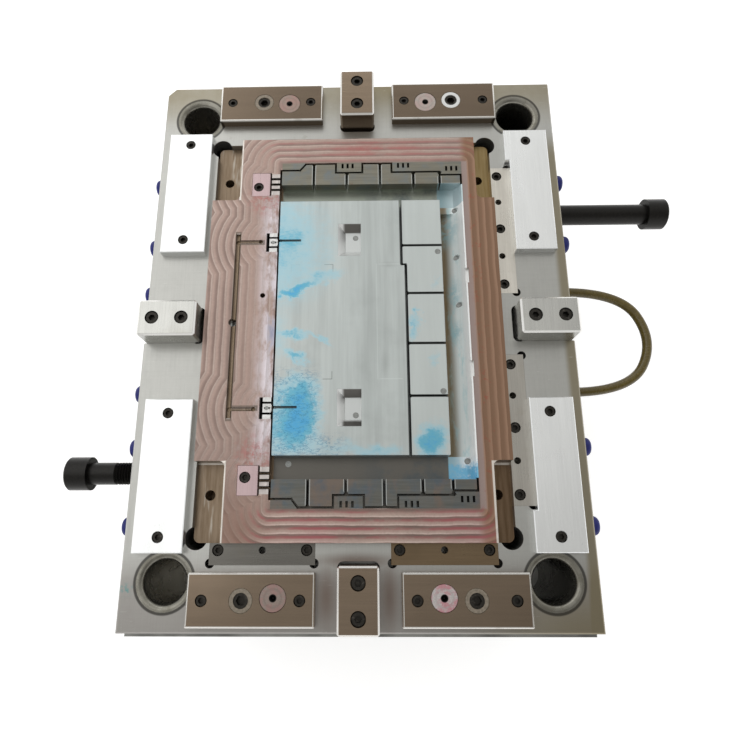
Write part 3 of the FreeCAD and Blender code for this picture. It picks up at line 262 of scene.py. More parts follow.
def core_plate_finish(p):
    """Core plate: milled grey steel with fine streaks, oil film at its edges, painted shade that makes the front darker
    and browner and the pocket walls and sides darker.
    """
    f = Finish("core_plate_steel")
    streak = f.cloud(1.5, 4, 0.65, (1, 38, 1))
    streak_x = f.cloud(1.7, 4, 0.65, (38, 1, 1), 11)
    cloud = f.cloud(60, 4, 0.6, shift=5)
    fine = f.cloud(12, 5, 0.65, shift=19)
    lines = (streak * 0.6 + streak_x * 0.4).step(0.25, 0.75)
    grey = f.x.step(-160, 150).mix(p.plate, shade(p.plate, 0.96))
    grey = (lines * 0.24 + fine.step(0.4, 0.75) * 0.10).mix(grey, shade(p.plate, 0.60))
    back = f.y.step(232, 292) * (0.45 + cloud * 0.7)
    corner = f.y.step(-235, -300) * f.x.step(60, 215) * 0.85
    # painted shade: the front of the plate is darker and browner
    wear_and_shade = f.y.step(-225, -262) * 0.38
    grey = wear_and_shade.mix(grey, (0.165, 0.128, 0.118))
    film = (back + corner + f.x.step(211, 218) * f.y.step(240, 200) * 0.85).least(0.95)
    colour = film.mix(grey, p.oil)
    # brown reflections and rubbed patches beside the front blocks
    brown = f.blot(-30, -268, 15, 42).most(f.blot(29, -268, 13, 44))
    brown = brown.most(f.blot(-2, -236, 60, 10))
    colour = (brown * 0.75).mix(colour, (0.17, 0.12, 0.095))
    rub = f.cloud(22, 5, 0.7, shift=43).step(0.60, 0.76) * f.y.step(150, 230)
    colour = (rub * 0.35).mix(colour, shade(p.oil, 0.7))
    # drips of blue-green spotting dye by the front left bore
    teal = f.blot(-219, -262, 10, 8) * f.cloud(4, 3, 0.6).step(0.42, 0.6)
    colour = (teal * 0.8).mix(colour, (0.07, 0.30, 0.30))
    scratch = f.cloud(0.9, 2, 0.5, (14, 1, 1), 77).step(0.70, 0.76) * fine.step(0.45, 0.6)
    colour = (scratch * 0.5).mix(colour, shade(p.plate, 1.5))
    # dark rings round the bores
    away = ((abs(f.x) - BORE_SPOT[0]) ** 2.0 + (abs(f.y) - BORE_SPOT[1]) ** 2.0) ** 0.5
    ring = away.step(30.2, 28.8) * away.step(26.6, 27.2)
    colour = (ring * 0.85).mix(colour, (0.035, 0.033, 0.028))
    # the pocket walls and the plate's sides are streaked, and painted shade makes them darker
    below = f.z.step(-10.9, -12.5)
    walls = f.cloud(1.4, 3, 0.6, (30, 30, 1), 3)
    wall = walls.step(0.3, 0.7).mix(shade(p.plate, 0.36), shade(p.plate, 0.74))
    colour = below.mix(colour, wall)
    return f.done(colour, cloud * 0.12 + streak * 0.14 + 0.22, 0.85, streak * 0.6 + streak_x * 0.4, 0.010)


def base_finish(p):
    """Hidden lower plates: milled plain steel, rubbed and oily."""
    f = Finish("base_steel")
    lines = f.cloud(1.8, 3, 0.6, (25, 25, 1))
    lumps = f.cloud(55, 5, 0.6, shift=9)
    steel = lines.step(0.3, 0.7).mix(shade(p.plate, 0.62), shade(p.plate, 0.98))
    steel = (lumps.step(0.5, 0.75) * 0.5).mix(steel, p.oil)
    rust = f.cloud(9, 5, 0.7, shift=51).step(0.66, 0.78)
    steel = (rust * 0.45).mix(steel, (0.16, 0.085, 0.045))
    return f.done(steel, lumps * 0.25 + 0.24, 0.8, lines, 0.02)


def insert_finish(p):
    """Core insert: coppery parting face, contour-milled in terraces round the product and gates, drawn as painted light
    and shade over a shallow bump.
    """
    f = Finish("insert_milled_steel")
    wobble = f.cloud(24, 3, 0.5) - 0.5
    rect_x = abs(f.x - 15.0) - 100.5
    rect_y = abs(f.y) - 188.6
    away = (rect_x.most(0.0) ** 2.0 + rect_y.most(0.0) ** 2.0) ** 0.5
    for middle in (GATE_Y, 165.0):
        dx, dy = f.x + 92.0, abs(f.y) - middle
        away = away.least((dx * dx + dy * dy) ** 0.5 - 4.0)
    away = away + wobble * 2.2
    # painted light and shade of the terraces: each band dark at its inner side, lit towards its outer side, with a
    # painted highlight near its crest
    u = (away * (1.0 / p.terrace)).maths("FRACT")
    light = u.step(0.42, 0.86) * u.step(1.0, 0.94)
    crest = u.step(0.76, 0.88) * u.step(1.0, 0.94)
    dark = u.step(0.60, 0.15)
    right = f.x.step(112, 122)
    inner = f.x.step(-90, -98) * away.step(38, 26)
    strength = (1.0 - right * 0.72) * (1.0 - inner * 0.45)
    grain = f.cloud(2.3, 5, 0.75)
    patch = f.cloud(34, 4, 0.6, shift=13)
    # painted terrace shade, light and crest highlight, weaker on the right and round the gates
    base = (dark * strength * 0.9).mix(p.insert, shade(p.insert, 0.48))
    base = (light * strength * 0.7).mix(base, (0.47, 0.365, 0.32))
    base = (crest * strength * patch.step(0.25, 0.6) * 0.6).mix(base, (0.70, 0.59, 0.53))
    base = (f.x.step(-60, -130) * f.y.step(-60, -160) * 0.45).mix(base, shade(p.insert, 0.55))
    base = (patch.step(0.35, 0.7) * 0.25).mix(base, shade(p.insert, 1.20))
    base = (grain.step(0.40, 0.75) * 0.30).mix(base, shade(p.insert, 0.58))
    # the right side is browner and smoother, its bands still carrying painted terrace light
    brown = light.mix((0.245, 0.140, 0.082), (0.345, 0.205, 0.130))
    brown = (f.cloud(3, 3, 0.6, (1, 30, 1)).step(0.35, 0.7) * 0.3).mix(brown, (0.21, 0.115, 0.066))
    base = (right * 0.9).mix(base, brown)
    base = (f.inside(115.7, 122, -189, 189, 1.2) * 0.65).mix(base, (0.40, 0.33, 0.32))
    # lilac wash along the product's left edge, brown at the front corner, a blue shadow in the middle
    lilac = f.cloud(14, 5, 0.7, (1, 2.4, 1), 3)
    pale = f.x.step(-112, -90) * abs(f.y).step(158, 120) * f.x.step(-80, -84)
    base = (pale * lilac.step(0.34, 0.58) * 0.85).mix(base, (0.74, 0.69, 0.74))
    base = (f.y.step(-140, -215) * f.x.step(-70, -115) * 0.6).mix(base, (0.27, 0.160, 0.118))
    blue = f.blot(-88, -4, 9, 50) * lilac.step(0.4, 0.6)
    base = (blue * 0.75).mix(base, (0.16, 0.20, 0.33))
    # red and pink spotting dye
    ends = abs(f.y).step(184, 196) * f.x.step(-122, -85) * f.x.step(150, 112)
    lower = f.y.step(-150, -190)
    line = u.step(0.10, 0.30) * u.step(0.62, 0.42)
    smear = f.cloud(26, 5, 0.75, (3, 1, 1), 23)
    base = (ends * line * smear.step(0.35, 0.60) * (lower * 0.45 + 0.40)).mix(base, p.red_dye)
    base = (ends * lower * smear.step(0.42, 0.7) * 0.40).mix(base, (0.46, 0.22, 0.23))
    back = f.blot(20, 206, 84, 13) * smear.step(0.42, 0.62)
    base = (back * 0.6).mix(base, (0.42, 0.13, 0.12))
    latches = f.blot(-100, 143, 30, 30).most(f.blot(-100, -140, 30, 36))
    marks = f.cloud(7, 6, 0.8, shift=71)
    base = (latches * marks.step(0.46, 0.60) * 0.75).mix(base, (0.40, 0.13, 0.13))
    base = (latches * marks.step(0.50, 0.38) * 0.55).mix(base, (0.55, 0.44, 0.47))
    strip = f.x.step(118, 124) * f.x.step(140, 130) * marks.step(0.54, 0.66)
    base = (strip * 0.5).mix(base, (0.36, 0.09, 0.06))
    # bright fingers beside the latches and gates, painted shade in the slots between them and a dark bar along their
    # left side
    fingers = f.pair(-97, -84.2, 149, 175)
    slots = abs(abs(abs(f.y) - LATCH_Y) - 3.4) - 3.4
    base = (fingers * 0.8).mix(base, (0.60, 0.57, 0.55))
    base = (fingers * abs(slots).step(1.9, 1.1)).mix(base, (0.030, 0.026, 0.024))
    base = (f.pair(-98.6, -95.6, 147.5, 176.5) * 0.9).mix(base, (0.03, 0.028, 0.025))
    runner = f.inside(-132.2, -125.8, -104, 104, 0.5).most(f.pair(-129, -100, 88.2, 93.8, 0.5))
    base = (runner * 0.7).mix(base, (0.11, 0.090, 0.070))
    groove = f.inside(-130.6, -127.4, -102, 102, 0.5).most(f.pair(-129, -102, 90, 92))
    base = (groove * 0.75).mix(base, (0.42, 0.38, 0.35))
    # heels, pocket walls and seats lie below the parting face, yellower at the back right, browner at the front right
    deep = f.z.step(-0.9, -2.5)
    lines = f.cloud(3, 4, 0.6, (1, 14, 1), 29).step(0.25, 0.75)
    olive = lines.mix((0.19, 0.135, 0.085), (0.29, 0.22, 0.155))
    rightward = f.x.step(0, 100)
    amber = lines.mix((0.24, 0.165, 0.065), (0.32, 0.235, 0.11))
    olive = (rightward * f.y.step(0, 60)).mix(olive, amber)
    # painted sheen: lighter streaks on the left heels
    shine = f.cloud(8, 3, 0.6, (1, 9, 1), 47).step(0.58, 0.68) * f.x.step(-100, -120)
    olive = (shine * 0.55).mix(olive, (0.56, 0.52, 0.46))
    umber = lines.mix((0.115, 0.070, 0.035), (0.19, 0.125, 0.075))
    olive = (rightward * f.y.step(0, -60)).mix(olive, umber)
    olive = f.pair(112.5, 120.5, 42.5, 59.5).mix(olive, (0.90, 0.91, 0.90))
    colour = deep.mix(base, olive)
    # painted highlight along the heels' edges
    edges = f.pair(-130.6, -128.6, 143, 220)
    for sides in ((129.0, 131.2, -220.0, -145.0), (129.0, 150.0, -146.0, -143.6), (-160.0, -129.0, -145.0, -143.2)):
        edges = edges.most(f.inside(*sides))
    colour = (edges * 0.85).mix(colour, (0.84, 0.80, 0.74))
    scallop = (u * 2.0 - 1.0) ** 2.0
    bump = (1.0 - deep) * scallop * (1.0 - right * 0.6) * 0.9 + grain * 0.10
    rough = grain * 0.14 + patch * 0.12 + 0.26
    return f.done(colour, rough, 0.72, bump, p.terrace_depth)


def dye_field(f, p, colour):
    """Cyan and blue spotting dye, wiped thin over the core block."""
    ragged = f.cloud(9, 6, 0.75, (1.3, 0.8, 1), 3)
    thin = f.cloud(2.2, 5, 0.75, (1.6, 1, 1), 61)
    across, along = f.cloud(18, 5, 0.7, shift=21), f.cloud(15, 5, 0.7, shift=40)
    g = f.warped((across - 0.5) * 34.0, (along - 0.5) * 26.0)
    # each area's middle, half width and half length, turn in degrees and depth of dye
    areas = [(-100, 84, 112, 112, 0, 0.66), (-86, -18, 30, 40, 0, 0.32),
             (-80, -106, 66, 66, 0, 0.60), (-70, 92, 22, 14, 0, 0.22),
             (-66, 33, 30, 8, 20, 0.85), (-38, 47, 36, 10, 16, 0.40),
             (-64, -15, 30, 6.5, -3, 0.60), (-36, -21, 22, 5, -32, 0.55),
             (-63, -39, 20, 10, -20, 0.80), (-56, -84, 28, 46, 0, 0.85),
             (-58, -118, 32, 28, 0, 0.50), (-22, -132, 40, 14, 12, 0.30),
             (18, -135, 42, 12, 0, 0.55), (57, -8, 9, 26, -8, 0.60),
             (63, 10, 10, 6, 10, 0.60), (76, -43, 8, 16, -18, 0.35),
             (84, 42, 7, 18, -24, 0.25), (72, -126, 24, 30, -14, 1.05)]
    density = None
    for x, y, rx, ry, turn, depth in areas:
        spot = g.blot(x, y, rx, ry, turn) * depth
        density = spot if density is None else density + spot
    wiped = density * (0.62 + thin * 0.75) + (ragged - 0.5) * density.step(0.02, 0.40) * 0.55
    colour = (wiped.step(0.04, 0.50) * 0.85).mix(colour, p.cyan)
    colour = (wiped.step(0.42, 0.85) * 0.9).mix(colour, p.cyan_deep)
    colour = (wiped.step(0.85, 1.25) * 0.8).mix(colour, p.blue)
    veins = f.cloud(6, 4, 0.75, (2.4, 0.9, 1), 15)
    vein = abs(veins - 0.5).step(0.030, 0.006)
    lower = f.x.step(-30, -50) * f.y.step(-44, -62)
    lower = lower.most(f.y.step(-112, -126) * f.x.step(0, -30))
    return (vein * lower * 0.55).mix(colour, shade(p.blue, 0.5))


def core_finish(p):
    """Core block: pale silver, drawn out lengthwise, with spotting dye."""
    f = Finish("core_silver_steel")
    streak = f.cloud(3.2, 4, 0.65, (1, 45, 1))
    broad = f.cloud(16, 3, 0.6, (1, 9, 1), 9)
    cloud = f.cloud(45, 4, 0.6, shift=17)
    steel = (streak * 0.35 + broad * 0.65).step(0.28, 0.72).mix(shade(p.silver, 0.86), shade(p.silver, 1.10))
    steel = (cloud.step(0.5, 0.75) * 0.30).mix(steel, shade(p.silver, 0.72))
    steel = (f.x.step(46, 52) * 0.6).mix(steel, shade(p.silver, 1.18))
    smear = f.blot(33, 62, 14, 5).most(f.blot(28, -46, 6, 22)) * streak.step(0.3, 0.6)
    steel = (smear * 0.28).mix(steel, (0.22, 0.23, 0.22))
    # thin witness lines of an old setting: a large rounded frame and four corner marks
    edge = abs(abs(f.x - 45.0) - 25.0).step(0.9, 0.2) * abs(f.y).step(64, 62) * f.x.step(24, 18)
    edge = edge.most(abs(abs(f.y) - 62.5).step(0.9, 0.2) * f.x.step(20, 24) * f.x.step(46, 44))
    steel = (edge * 0.35).mix(steel, shade(p.silver, 1.35))
    dx = abs(f.x + 48.0)
    mark = abs(dx - 22.0).step(0.5, 0.15) * abs(abs(f.y) - 58.5).step(4.5, 4.0)
    mark = mark.most(abs(abs(f.y) - 62.5).step(0.5, 0.15) * dx.step(12.5, 13.0) * dx.step(22.2, 21.8))
    steel = (mark * 0.8).mix(steel, shade(p.silver, 0.35))
    colour = dye_field(f, p, steel)
    # painted shade: the cells' grooves and the gate slots are painted dark wider than they are cut, for the shade at
    # their sides
    jog = f.y.step(61.7, 62.3)
    beside = f.x + jog * CELL_JOG
    line = abs(beside - CELL_X).step(1.75, 1.25)
    for y in CELL_LINES:
        line = line.most(abs(f.y - y).step(1.6, 1.15) * beside.step(CELL_X - 1.0, CELL_X - 0.2))
    slot_shade = abs(abs(f.y) - GATE_Y).step(1.5, 1.1) * f.x.step(-60, -61)
    colour = (line.most(slot_shade) * 0.9).mix(colour, (0.022, 0.024, 0.024))
    # window recesses: painted light on the floor and left wall, painted shade on the end walls
    wall = f.pair(-21, 3.6, 72.5, 110.5, 0.2) * f.z.step(3.9, 3.4)
    lit_floor = wall * f.z.step(-3.2, -3.8)
    tall = f.y - (f.y.step(-1, 1) * 183.0 - 91.5)
    inward = f.x.step(-17, -13)
    far = tall.step(9.0, 12.0) * inward
    near = tall.step(-11.0, -14.0) * f.y.step(1, -1) * inward
    shaded = wall.mix(colour, (0.80, 0.81, 0.80))
    shaded = (wall * far.most(near)).mix(shaded, (0.13, 0.125, 0.115))
    colour = (lit_floor * 0.9).mix(shaded, (0.62, 0.645, 0.64))
    # painted shade on the block's lower surfaces outside the windows
    deep = f.z.step(3.6, 2.4) * (1.0 - wall)
    colour = (deep * 0.55).mix(colour, shade(p.silver, 0.50))
    return f.done(colour, streak * 0.10 + cloud * 0.14 + 0.24, 0.80, streak * 0.7 + broad * 0.3, 0.008)


def end_finish(p):
    """End blocks: darker ground steel, olive at the back, blue-tinted at the front, with painted shade in the rib
    grooves and a painted highlight along each side of them.
    """
    f = Finish("end_ground_steel")
    lines = f.cloud(2, 3, 0.6, (20, 1, 1))
    cloud = f.cloud(26, 5, 0.65, shift=27)
    olive = lines.step(0.25, 0.75).mix(shade(p.row, 0.90), shade(p.row, 1.20))
    front = lines.step(0.25, 0.75).mix((0.125, 0.125, 0.110), (0.165, 0.165, 0.155))
    front = (f.cloud(30, 3, 0.6, (1, 3, 1), 83).step(0.46, 0.60) * 0.7).mix(front, (0.20, 0.150, 0.120))
    forward = f.y.step(0, -60)
    steel = forward.mix(olive, front)
    steel = (cloud.step(0.44, 0.68) * 0.6).mix(steel, forward.mix((0.16, 0.20, 0.23), (0.085, 0.125, 0.165)))
    steel = (cloud.step(0.42, 0.28) * 0.5).mix(steel, (0.20, 0.14, 0.10))
    low = f.z.step(-8, -14)
    moat = forward.mix((0.36, 0.39, 0.335), (0.145, 0.137, 0.122))
    moat = (cloud.step(0.40, 0.65) * f.x.step(-20, 60) * 0.6).mix(moat, (0.075, 0.105, 0.125))
    colour = low.mix(steel, moat)
    # rib grooves: painted shade in each groove, with a painted highlight along each side
    for x, reach in RIB_GROOVES:
        off = abs(f.x - x)
        zone = abs(f.y).step(160, 161.5) * abs(f.y).step(reach + 0.8, reach - 0.4) * f.z.step(-9, -8)
        colour = (zone * off.step(2.5, 2.1) * off.step(1.3, 1.6) * 0.6).mix(colour, (0.60, 0.62, 0.61))
        colour = (zone * off.step(1.65, 1.3)).mix(colour, (0.02, 0.021, 0.02))
    # pads beside the trough take the dye
    pads = f.x.step(88.5, 89.8)
    right = f.x.step(92, 112)
    back_pad = pads * f.y.step(136, 139) * f.y.step(162, 160.5)
    colour = (back_pad * 0.9).mix(colour, right.mix((0.28, 0.42, 0.46), (0.66, 0.80, 0.84)))
    ragged = f.cloud(8, 6, 0.75, shift=27)
    wet = (ragged - f.y.step(-152, -138) * 0.30 + 0.10).step(0.36, 0.62)
    front_pad = pads * f.y.step(-136, -139) * f.y.step(-162, -160.5)
    front_tint = wet.mix(right.mix((0.34, 0.52, 0.60), (0.95, 0.97, 0.98)), (0.20, 0.52, 0.74))
    colour = front_pad.mix(colour, front_tint)
    metal = 0.78 - front_pad * 0.45 - back_pad * 0.4
    return f.done(colour, cloud * 0.18 + lines * 0.10 + 0.20, metal, lines, 0.008)


def trough_finish(p):
    """Trough bar: dull silver with cyan tints, painted shade and a painted reflection of the cells' wall in brown at
    its inner side, and a painted highlight in white along its outer edge.
    """
    f = Finish("trough_steel")
    lines = f.cloud(2, 3, 0.6, (1, 26, 1), 21)
    ragged = f.cloud(9, 6, 0.75, shift=27)
    bluish = f.cloud(16, 4, 0.7, (0.6, 2.2, 1), 5)
    # painted shade and painted reflection of the cells' wall: brown at the inner side, turning pale towards the outer
    # side
    colour = f.x.step(95, 106).mix((0.205, 0.140, 0.062), (0.92, 0.99, 0.99))
    colour = (lines.step(0.3, 0.7) * 0.13).mix(colour, (0.52, 0.50, 0.43))
    colour = (bluish.step(0.50, 0.70) * f.x.step(92, 100) * 0.5).mix(colour, (0.42, 0.72, 0.78))
    spots = f.blot(100, 112, 16, 30).most(f.blot(103, 36, 10, 26))
    spots = spots.most(f.blot(104, -8, 9, 18))
    colour = (spots * ragged.step(0.35, 0.6) * 0.6).mix(colour, (0.26, 0.56, 0.64))
    # painted highlight: white along the outer edge
    colour = (f.x.step(109.5, 113) * 0.95).mix(colour, (0.98, 0.99, 0.99))
    return f.done(colour, ragged * 0.12 + 0.30, 0.15, lines, 0.006)


def screw_finish(p):
    """Black oxide: dark, slightly brown, with grey wear in patches."""
    f = Finish("black_oxide")
    grain = f.cloud(0.9, 4, 0.7)
    wear_and_shade = f.cloud(5, 4, 0.65, shift=33)
    colour = grain.step(0.3, 0.8).mix(p.oxide, shade(p.oxide, 2.2))
    colour = (wear_and_shade.step(0.55, 0.75) * 0.5).mix(colour, (0.17, 0.155, 0.135))
    return f.done(colour, grain * 0.2 + 0.30, 0.75, grain, 0.02)


def bore_finish(p):
    """Guide bushes: hardened, ground round and oily; deep in the bores, painted light in the left bushes and painted
    shade in the right ones.
    """
    f = Finish("bush_steel")
    rings = f.cloud(1.2, 3, 0.6, (40, 40, 1))
    oil = f.cloud(18, 4, 0.65, shift=3)
    depth = f.z.step(-11, -44)
    steel = rings.step(0.3, 0.7).mix(shade(p.bush, 0.75), shade(p.bush, 1.1))
    steel = (oil.step(0.42, 0.66) * 0.5).mix(steel, (0.13, 0.12, 0.09))
    # deep in the bores: painted light in the left bushes, painted shade in the right ones
    inner = f.x.step(60, -60).mix((0.06, 0.056, 0.045), (0.55, 0.52, 0.46))
    colour = (depth * 0.85).mix(steel, inner)
    return f.done(colour, oil * 0.2 + 0.16, 0.9, rings, 0.006)


def plain_finish(name, colour, rough, metal, lump=3.0, height=0.01, contrast=0.25, coat=0.0, stretch=(1.0, 1.0, 1.0)):
    """Simple mottled finish for small pieces."""
    f = Finish(name)
    grain = f.cloud(lump, 4, 0.65, stretch)
    fine = f.cloud(lump / 4, 3, 0.6, stretch, 13)
    tone = grain.step(0.3, 0.7).mix(shade(colour, 1.0 - contrast), shade(colour, 1.0 + contrast * 0.5))
    return f.done(tone, fine * 0.12 + grain * 0.10 + (rough - 0.1), metal, fine, height, coat_weight=coat)


def disc_finish(name, x, y, colour, stain, amount):
    """Ground end of a pin, stained unevenly by dye, with a dark centre hole."""
    f = Finish(name)
    rings = f.cloud(1, 3, 0.6)
    smear = f.cloud(7, 4, 0.7, shift=x * 0.3)
    steel = rings.step(0.3, 0.7).mix(shade(colour, 0.86), shade(colour, 1.08))
    out = (smear.step(0.42, 0.62) * amount).mix(steel, stain)
    away = ((f.x - x) ** 2.0 + (f.y - y) ** 2.0) ** 0.5
    out = (away.step(9.4, 8.4) * away.step(6.6, 7.6) * 0.4).mix(out, shade(colour, 0.7))
    out = away.step(3.9, 3.2).mix(out, (0.012, 0.011, 0.010))
    return f.done(out, smear * 0.15 + 0.22, 0.85, rings, 0.006)


# ---- what a user may change
class MouldColours(bpy.types.PropertyGroup):
    """Colours of steel, dye and fittings."""

    def tint(name, description, default):
        return bpy.props.FloatVectorProperty(name=name, description=description, default=default, size=3, min=0.0,
                                             max=1.0, subtype="COLOR")

    plate: tint("Plate", "Milled steel of the core plate", (0.50, 0.50, 0.475))
    oil: tint("Oil film", "Brown-olive film on the plates", (0.25, 0.215, 0.14))
    insert: tint("Insert", "Coppery parting face of the core insert", (0.43, 0.310, 0.268))
    silver: tint("Core", "Pale silver of the core block", (0.52, 0.56, 0.55))
    row: tint("Rows", "Olive-grey steel of the end blocks", (0.20, 0.19, 0.155))
    bright: tint("Wear bars", "Bright ground steel of the wear bars", (0.90, 0.915, 0.915))
    bar: tint("Rest bars", "Brown-grey ground steel of the rest bars and interlocks", (0.225, 0.172, 0.125))
    wedge: tint("Wedges", "Ground steel of the wedges", (0.44, 0.42, 0.38))
    bush: tint("Bushes", "Hardened steel of the guide bushes", (0.28, 0.27, 0.235))
    oxide: tint("Screws", "Black oxide of the screws", (0.022, 0.020, 0.017))
    cyan: tint("Pale dye", "Thin wash of spotting dye", (0.40, 0.62, 0.70))
    cyan_deep: tint("Dye", "Medium spotting dye", (0.14, 0.46, 0.62))
    blue: tint("Strong dye", "Thick spotting dye", (0.09, 0.40, 0.72))
    red_dye: tint("Red dye", "Red spotting dye between the terraces", (0.38, 0.085, 0.095))
    cap: tint("Caps", "Blue of the nipple caps", (0.007, 0.013, 0.19))
    hose: tint("Hose", "Amber of the water hose", (0.115, 0.080, 0.007))


class MouldSizes(bpy.types.PropertyGroup):
    """Sizes of the terraces, knurls, springs and hose."""

    def size(name, description, default, low, high, **more):
        return bpy.props.FloatProperty(name=name, description=description, default=default, min=low, max=high, **more)

    terrace: size("Terrace", "Step between terraces, in millimetres", 7.8, 2.0, 20.0)
    terrace_depth: size("Terrace depth", "Height of a terrace's crest, in millimetres", 0.35, 0.0, 2.0)
    knurl_ribs: bpy.props.IntProperty(name="Knurl ribs", description="Ribs round a lifting screw's head", default=72,
                                      min=12, max=200)
    knurl_height: size("Knurl height", "Height of a head's ribs, in millimetres", 0.35, 0.05, 1.0)
    spring_width: size("Spring width", "Outer width of a return spring, in millimetres", 46.0, 10.0, 100.0)
    spring_wire: size("Spring wire", "Thickness of a spring's wire, in millimetres", 6.0, 0.5, 12.0)
    spring_turns: size("Spring turns", "Turns of a return spring", 8.0, 2.0, 30.0)
    ejector_stroke: size("Ejector stroke", "Travel of the ejector set, in millimetres", 40.0, 1.0, 100.0)
    hose_length: size("Hose length", "Length of the water hose", 0.26, 0.1, 2.0, unit="LENGTH")
    hose_diameter: size("Hose diameter", "Outside diameter of the water hose", 0.0105, 0.004, 0.04, unit="LENGTH")


class Values:
    """Plain copies of the user's colours and sizes."""

    def __init__(self, scene):
        for group in (scene.mould_colours, scene.mould_sizes):
            for key in group.__annotations__:
                value = getattr(group, key)
                setattr(self, key, value if isinstance(value, (int, float)) else tuple(value))


class MouldPiece:
    """What the operators share."""

    bl_options = {"REGISTER", "UNDO"}

    def execute(self, context):
        self.build(Values(context.scene))
        return {"FINISHED"}


class MOULD_OT_core_plate(MouldPiece, bpy.types.Operator):
    """Finish the core plate that carries everything"""

    bl_idname = "mould.core_plate"
    bl_label = "Core plate"

    def build(self, p):
        dress(core_plate_finish(p), "core_plate")


class MOULD_OT_base_stack(MouldPiece, bpy.types.Operator):
    """Finish the clamp plate, spacers, ejector plates, pillars and buttons"""

    bl_idname = "mould.base_stack"
    bl_label = "Base stack"

    def build(self, p):
        dress(base_finish(p), "clamp_plate", "spacer_block_left", "spacer_block_right", "ejector_plate",
              "ejector_retainer_plate")
        dress(plain_finish("pillar_steel", shade(p.plate, 0.8), 0.35, 0.85, 2.0, 0.01, 0.2, 0.0, (20.0, 20.0, 1.0)),
              "support_pillars", "stop_buttons")


class MOULD_OT_core_insert(MouldPiece, bpy.types.Operator):
    """Finish the core insert's milled and stained parting face"""

    bl_idname = "mould.core_insert"
    bl_label = "Core insert"

    def build(self, p):
        dress(insert_finish(p), "core_insert")
        pink = ground_steel("latch_steel", (0.56, 0.42, 0.43), "y", 0.30, 0.10, 0.7, (0.52, 0.24, 0.26), 0.5)
        dress(pink, "latch_insert_back", "latch_insert_front")
        f = Finish("gate_steel")
        tall, along = abs(abs(f.y) - GATE_Y), f.x - GATE_X
        grain = f.cloud(2, 4, 0.6)
        steel = grain.step(0.3, 0.7).mix((0.60, 0.60, 0.59), (0.82, 0.82, 0.81))
        bars = (along + 6.2).step(2.4, 1.9).most((along - 5.2).step(-1.2, -0.7) * tall.step(3.0, 3.6))
        bars = bars.most(abs(tall - 5.4).step(1.2, 0.8))
        bars = bars.most(tall.step(1.3, 0.9) * along.step(-3.0, -2.2) * along.step(3.4, 2.6))
        dress(f.done(bars.mix(steel, (0.022, 0.020, 0.020)), grain * 0.2 + 0.2, 0.8, grain, 0.01), "gate_insert_back",
              "gate_insert_front")


class MOULD_OT_core_block(MouldPiece, bpy.types.Operator):
    """Finish the dyed core block, the end blocks and the trough bar"""

    bl_idname = "mould.core_block"
    bl_label = "Core block"

    def build(self, p):
        dress(core_finish(p), "core_block")
        dress(end_finish(p), "end_block_back", "end_block_front")
        dress(trough_finish(p), "trough_bar")


class MOULD_OT_wedges(MouldPiece, bpy.types.Operator):
    """Finish the four wedges that hold the insert"""

    bl_idname = "mould.wedges"
    bl_label = "Wedges"

    def build(self, p):
        # one wedge steel in lit and shaded copies: painted lighter on the upper wedge, painted darker on the end
        # wedges, the right end also browner
        upper = ground_steel("upper_wedge_steel", shade(p.wedge, 1.55), "y", 0.28, 0.12, 0.88, p.oil, 0.2)
        side = ground_steel("side_wedge_steel", p.wedge, "y", 0.28, 0.14, 0.9, p.oil, 0.3)
        left = ground_steel("left_wedge_steel", shade(p.wedge, 0.38), "x", 0.28, 0.14, 0.9, shade(p.oil, 0.8), 0.4)
        end = ground_steel("end_wedge_steel", (0.195, 0.140, 0.085), "x", 0.28, 0.14, 0.9, (0.14, 0.10, 0.06), 0.4)
        dress(upper, "wedge_side_upper")
        dress(side, "wedge_side_lower")
        dress(left, "wedge_end_left")
        dress(end, "wedge_end_right")


class MOULD_OT_bars(MouldPiece, bpy.types.Operator):
    """Finish the rest bars, wear bars and interlocks"""

    bl_idname = "mould.bars"
    bl_label = "Bars and interlocks"

    def build(self, p):
        def outline(x, y, half_x, half_y):
            return x - half_x, x + half_x, y - half_y, y + half_y

        sides = [outline(sx * BAR_SPOT[0], sy * BAR_SPOT[1], *BAR_HALF) for sx in (-1, 1) for sy in (-1, 1)]
        ends = [outline(0.0, sy * LOCK_SPOT[1], LOCK_HALF[1], LOCK_HALF[0]) for sy in (-1, 1)]
        flanks = [outline(sx * LOCK_SPOT[0], 0.0, *LOCK_HALF) for sx in (-1, 1)]
        rest = ground_steel("rest_bar_steel", p.bar, "x", 0.22, 0.08, 0.94, shade(p.bar, 0.8), 0.3, sides)
        lock = ground_steel("interlock_steel", shade(p.bar, 1.05), "x", 0.24, 0.08, 0.94, shade(p.bar, 0.8), 0.3,
                            ends, 17.0)
        side = ground_steel("interlock_side_steel", shade(p.plate, 1.10), "y", 0.26, 0.10, 0.92, p.oil, 0.3,
                            flanks, 17.0)
        wear = ground_steel("wear_bar_steel", p.bright, "y", 0.24, 0.05, 0.88, shade(p.bright, 0.8), 0.2)
        # painted shade: the back rest bars take a darker copy of the rest bar steel
        dim = ground_steel("rest_bar_back_steel", shade(p.bar, 0.70), "x", 0.22, 0.08, 0.94, shade(p.bar, 0.6), 0.3,
                           sides)
        dress(dim, "rest_bar_back_left", "rest_bar_back_right")
        dress(rest, "rest_bar_front_left", "rest_bar_front_right")
        dress(wear, *["wear_bar_" + c for c in CORNERS])
        dress(lock, "interlock_back", "interlock_front")
        dress(side, "interlock_left", "interlock_right")


class MOULD_OT_guides(MouldPiece, bpy.types.Operator):
    """Finish the guide bushes"""

    bl_idname = "mould.guides"
    bl_label = "Guide bushes"

    def build(self, p):
        dress(bore_finish(p), *["guide_bush_" + c for c in CORNERS])


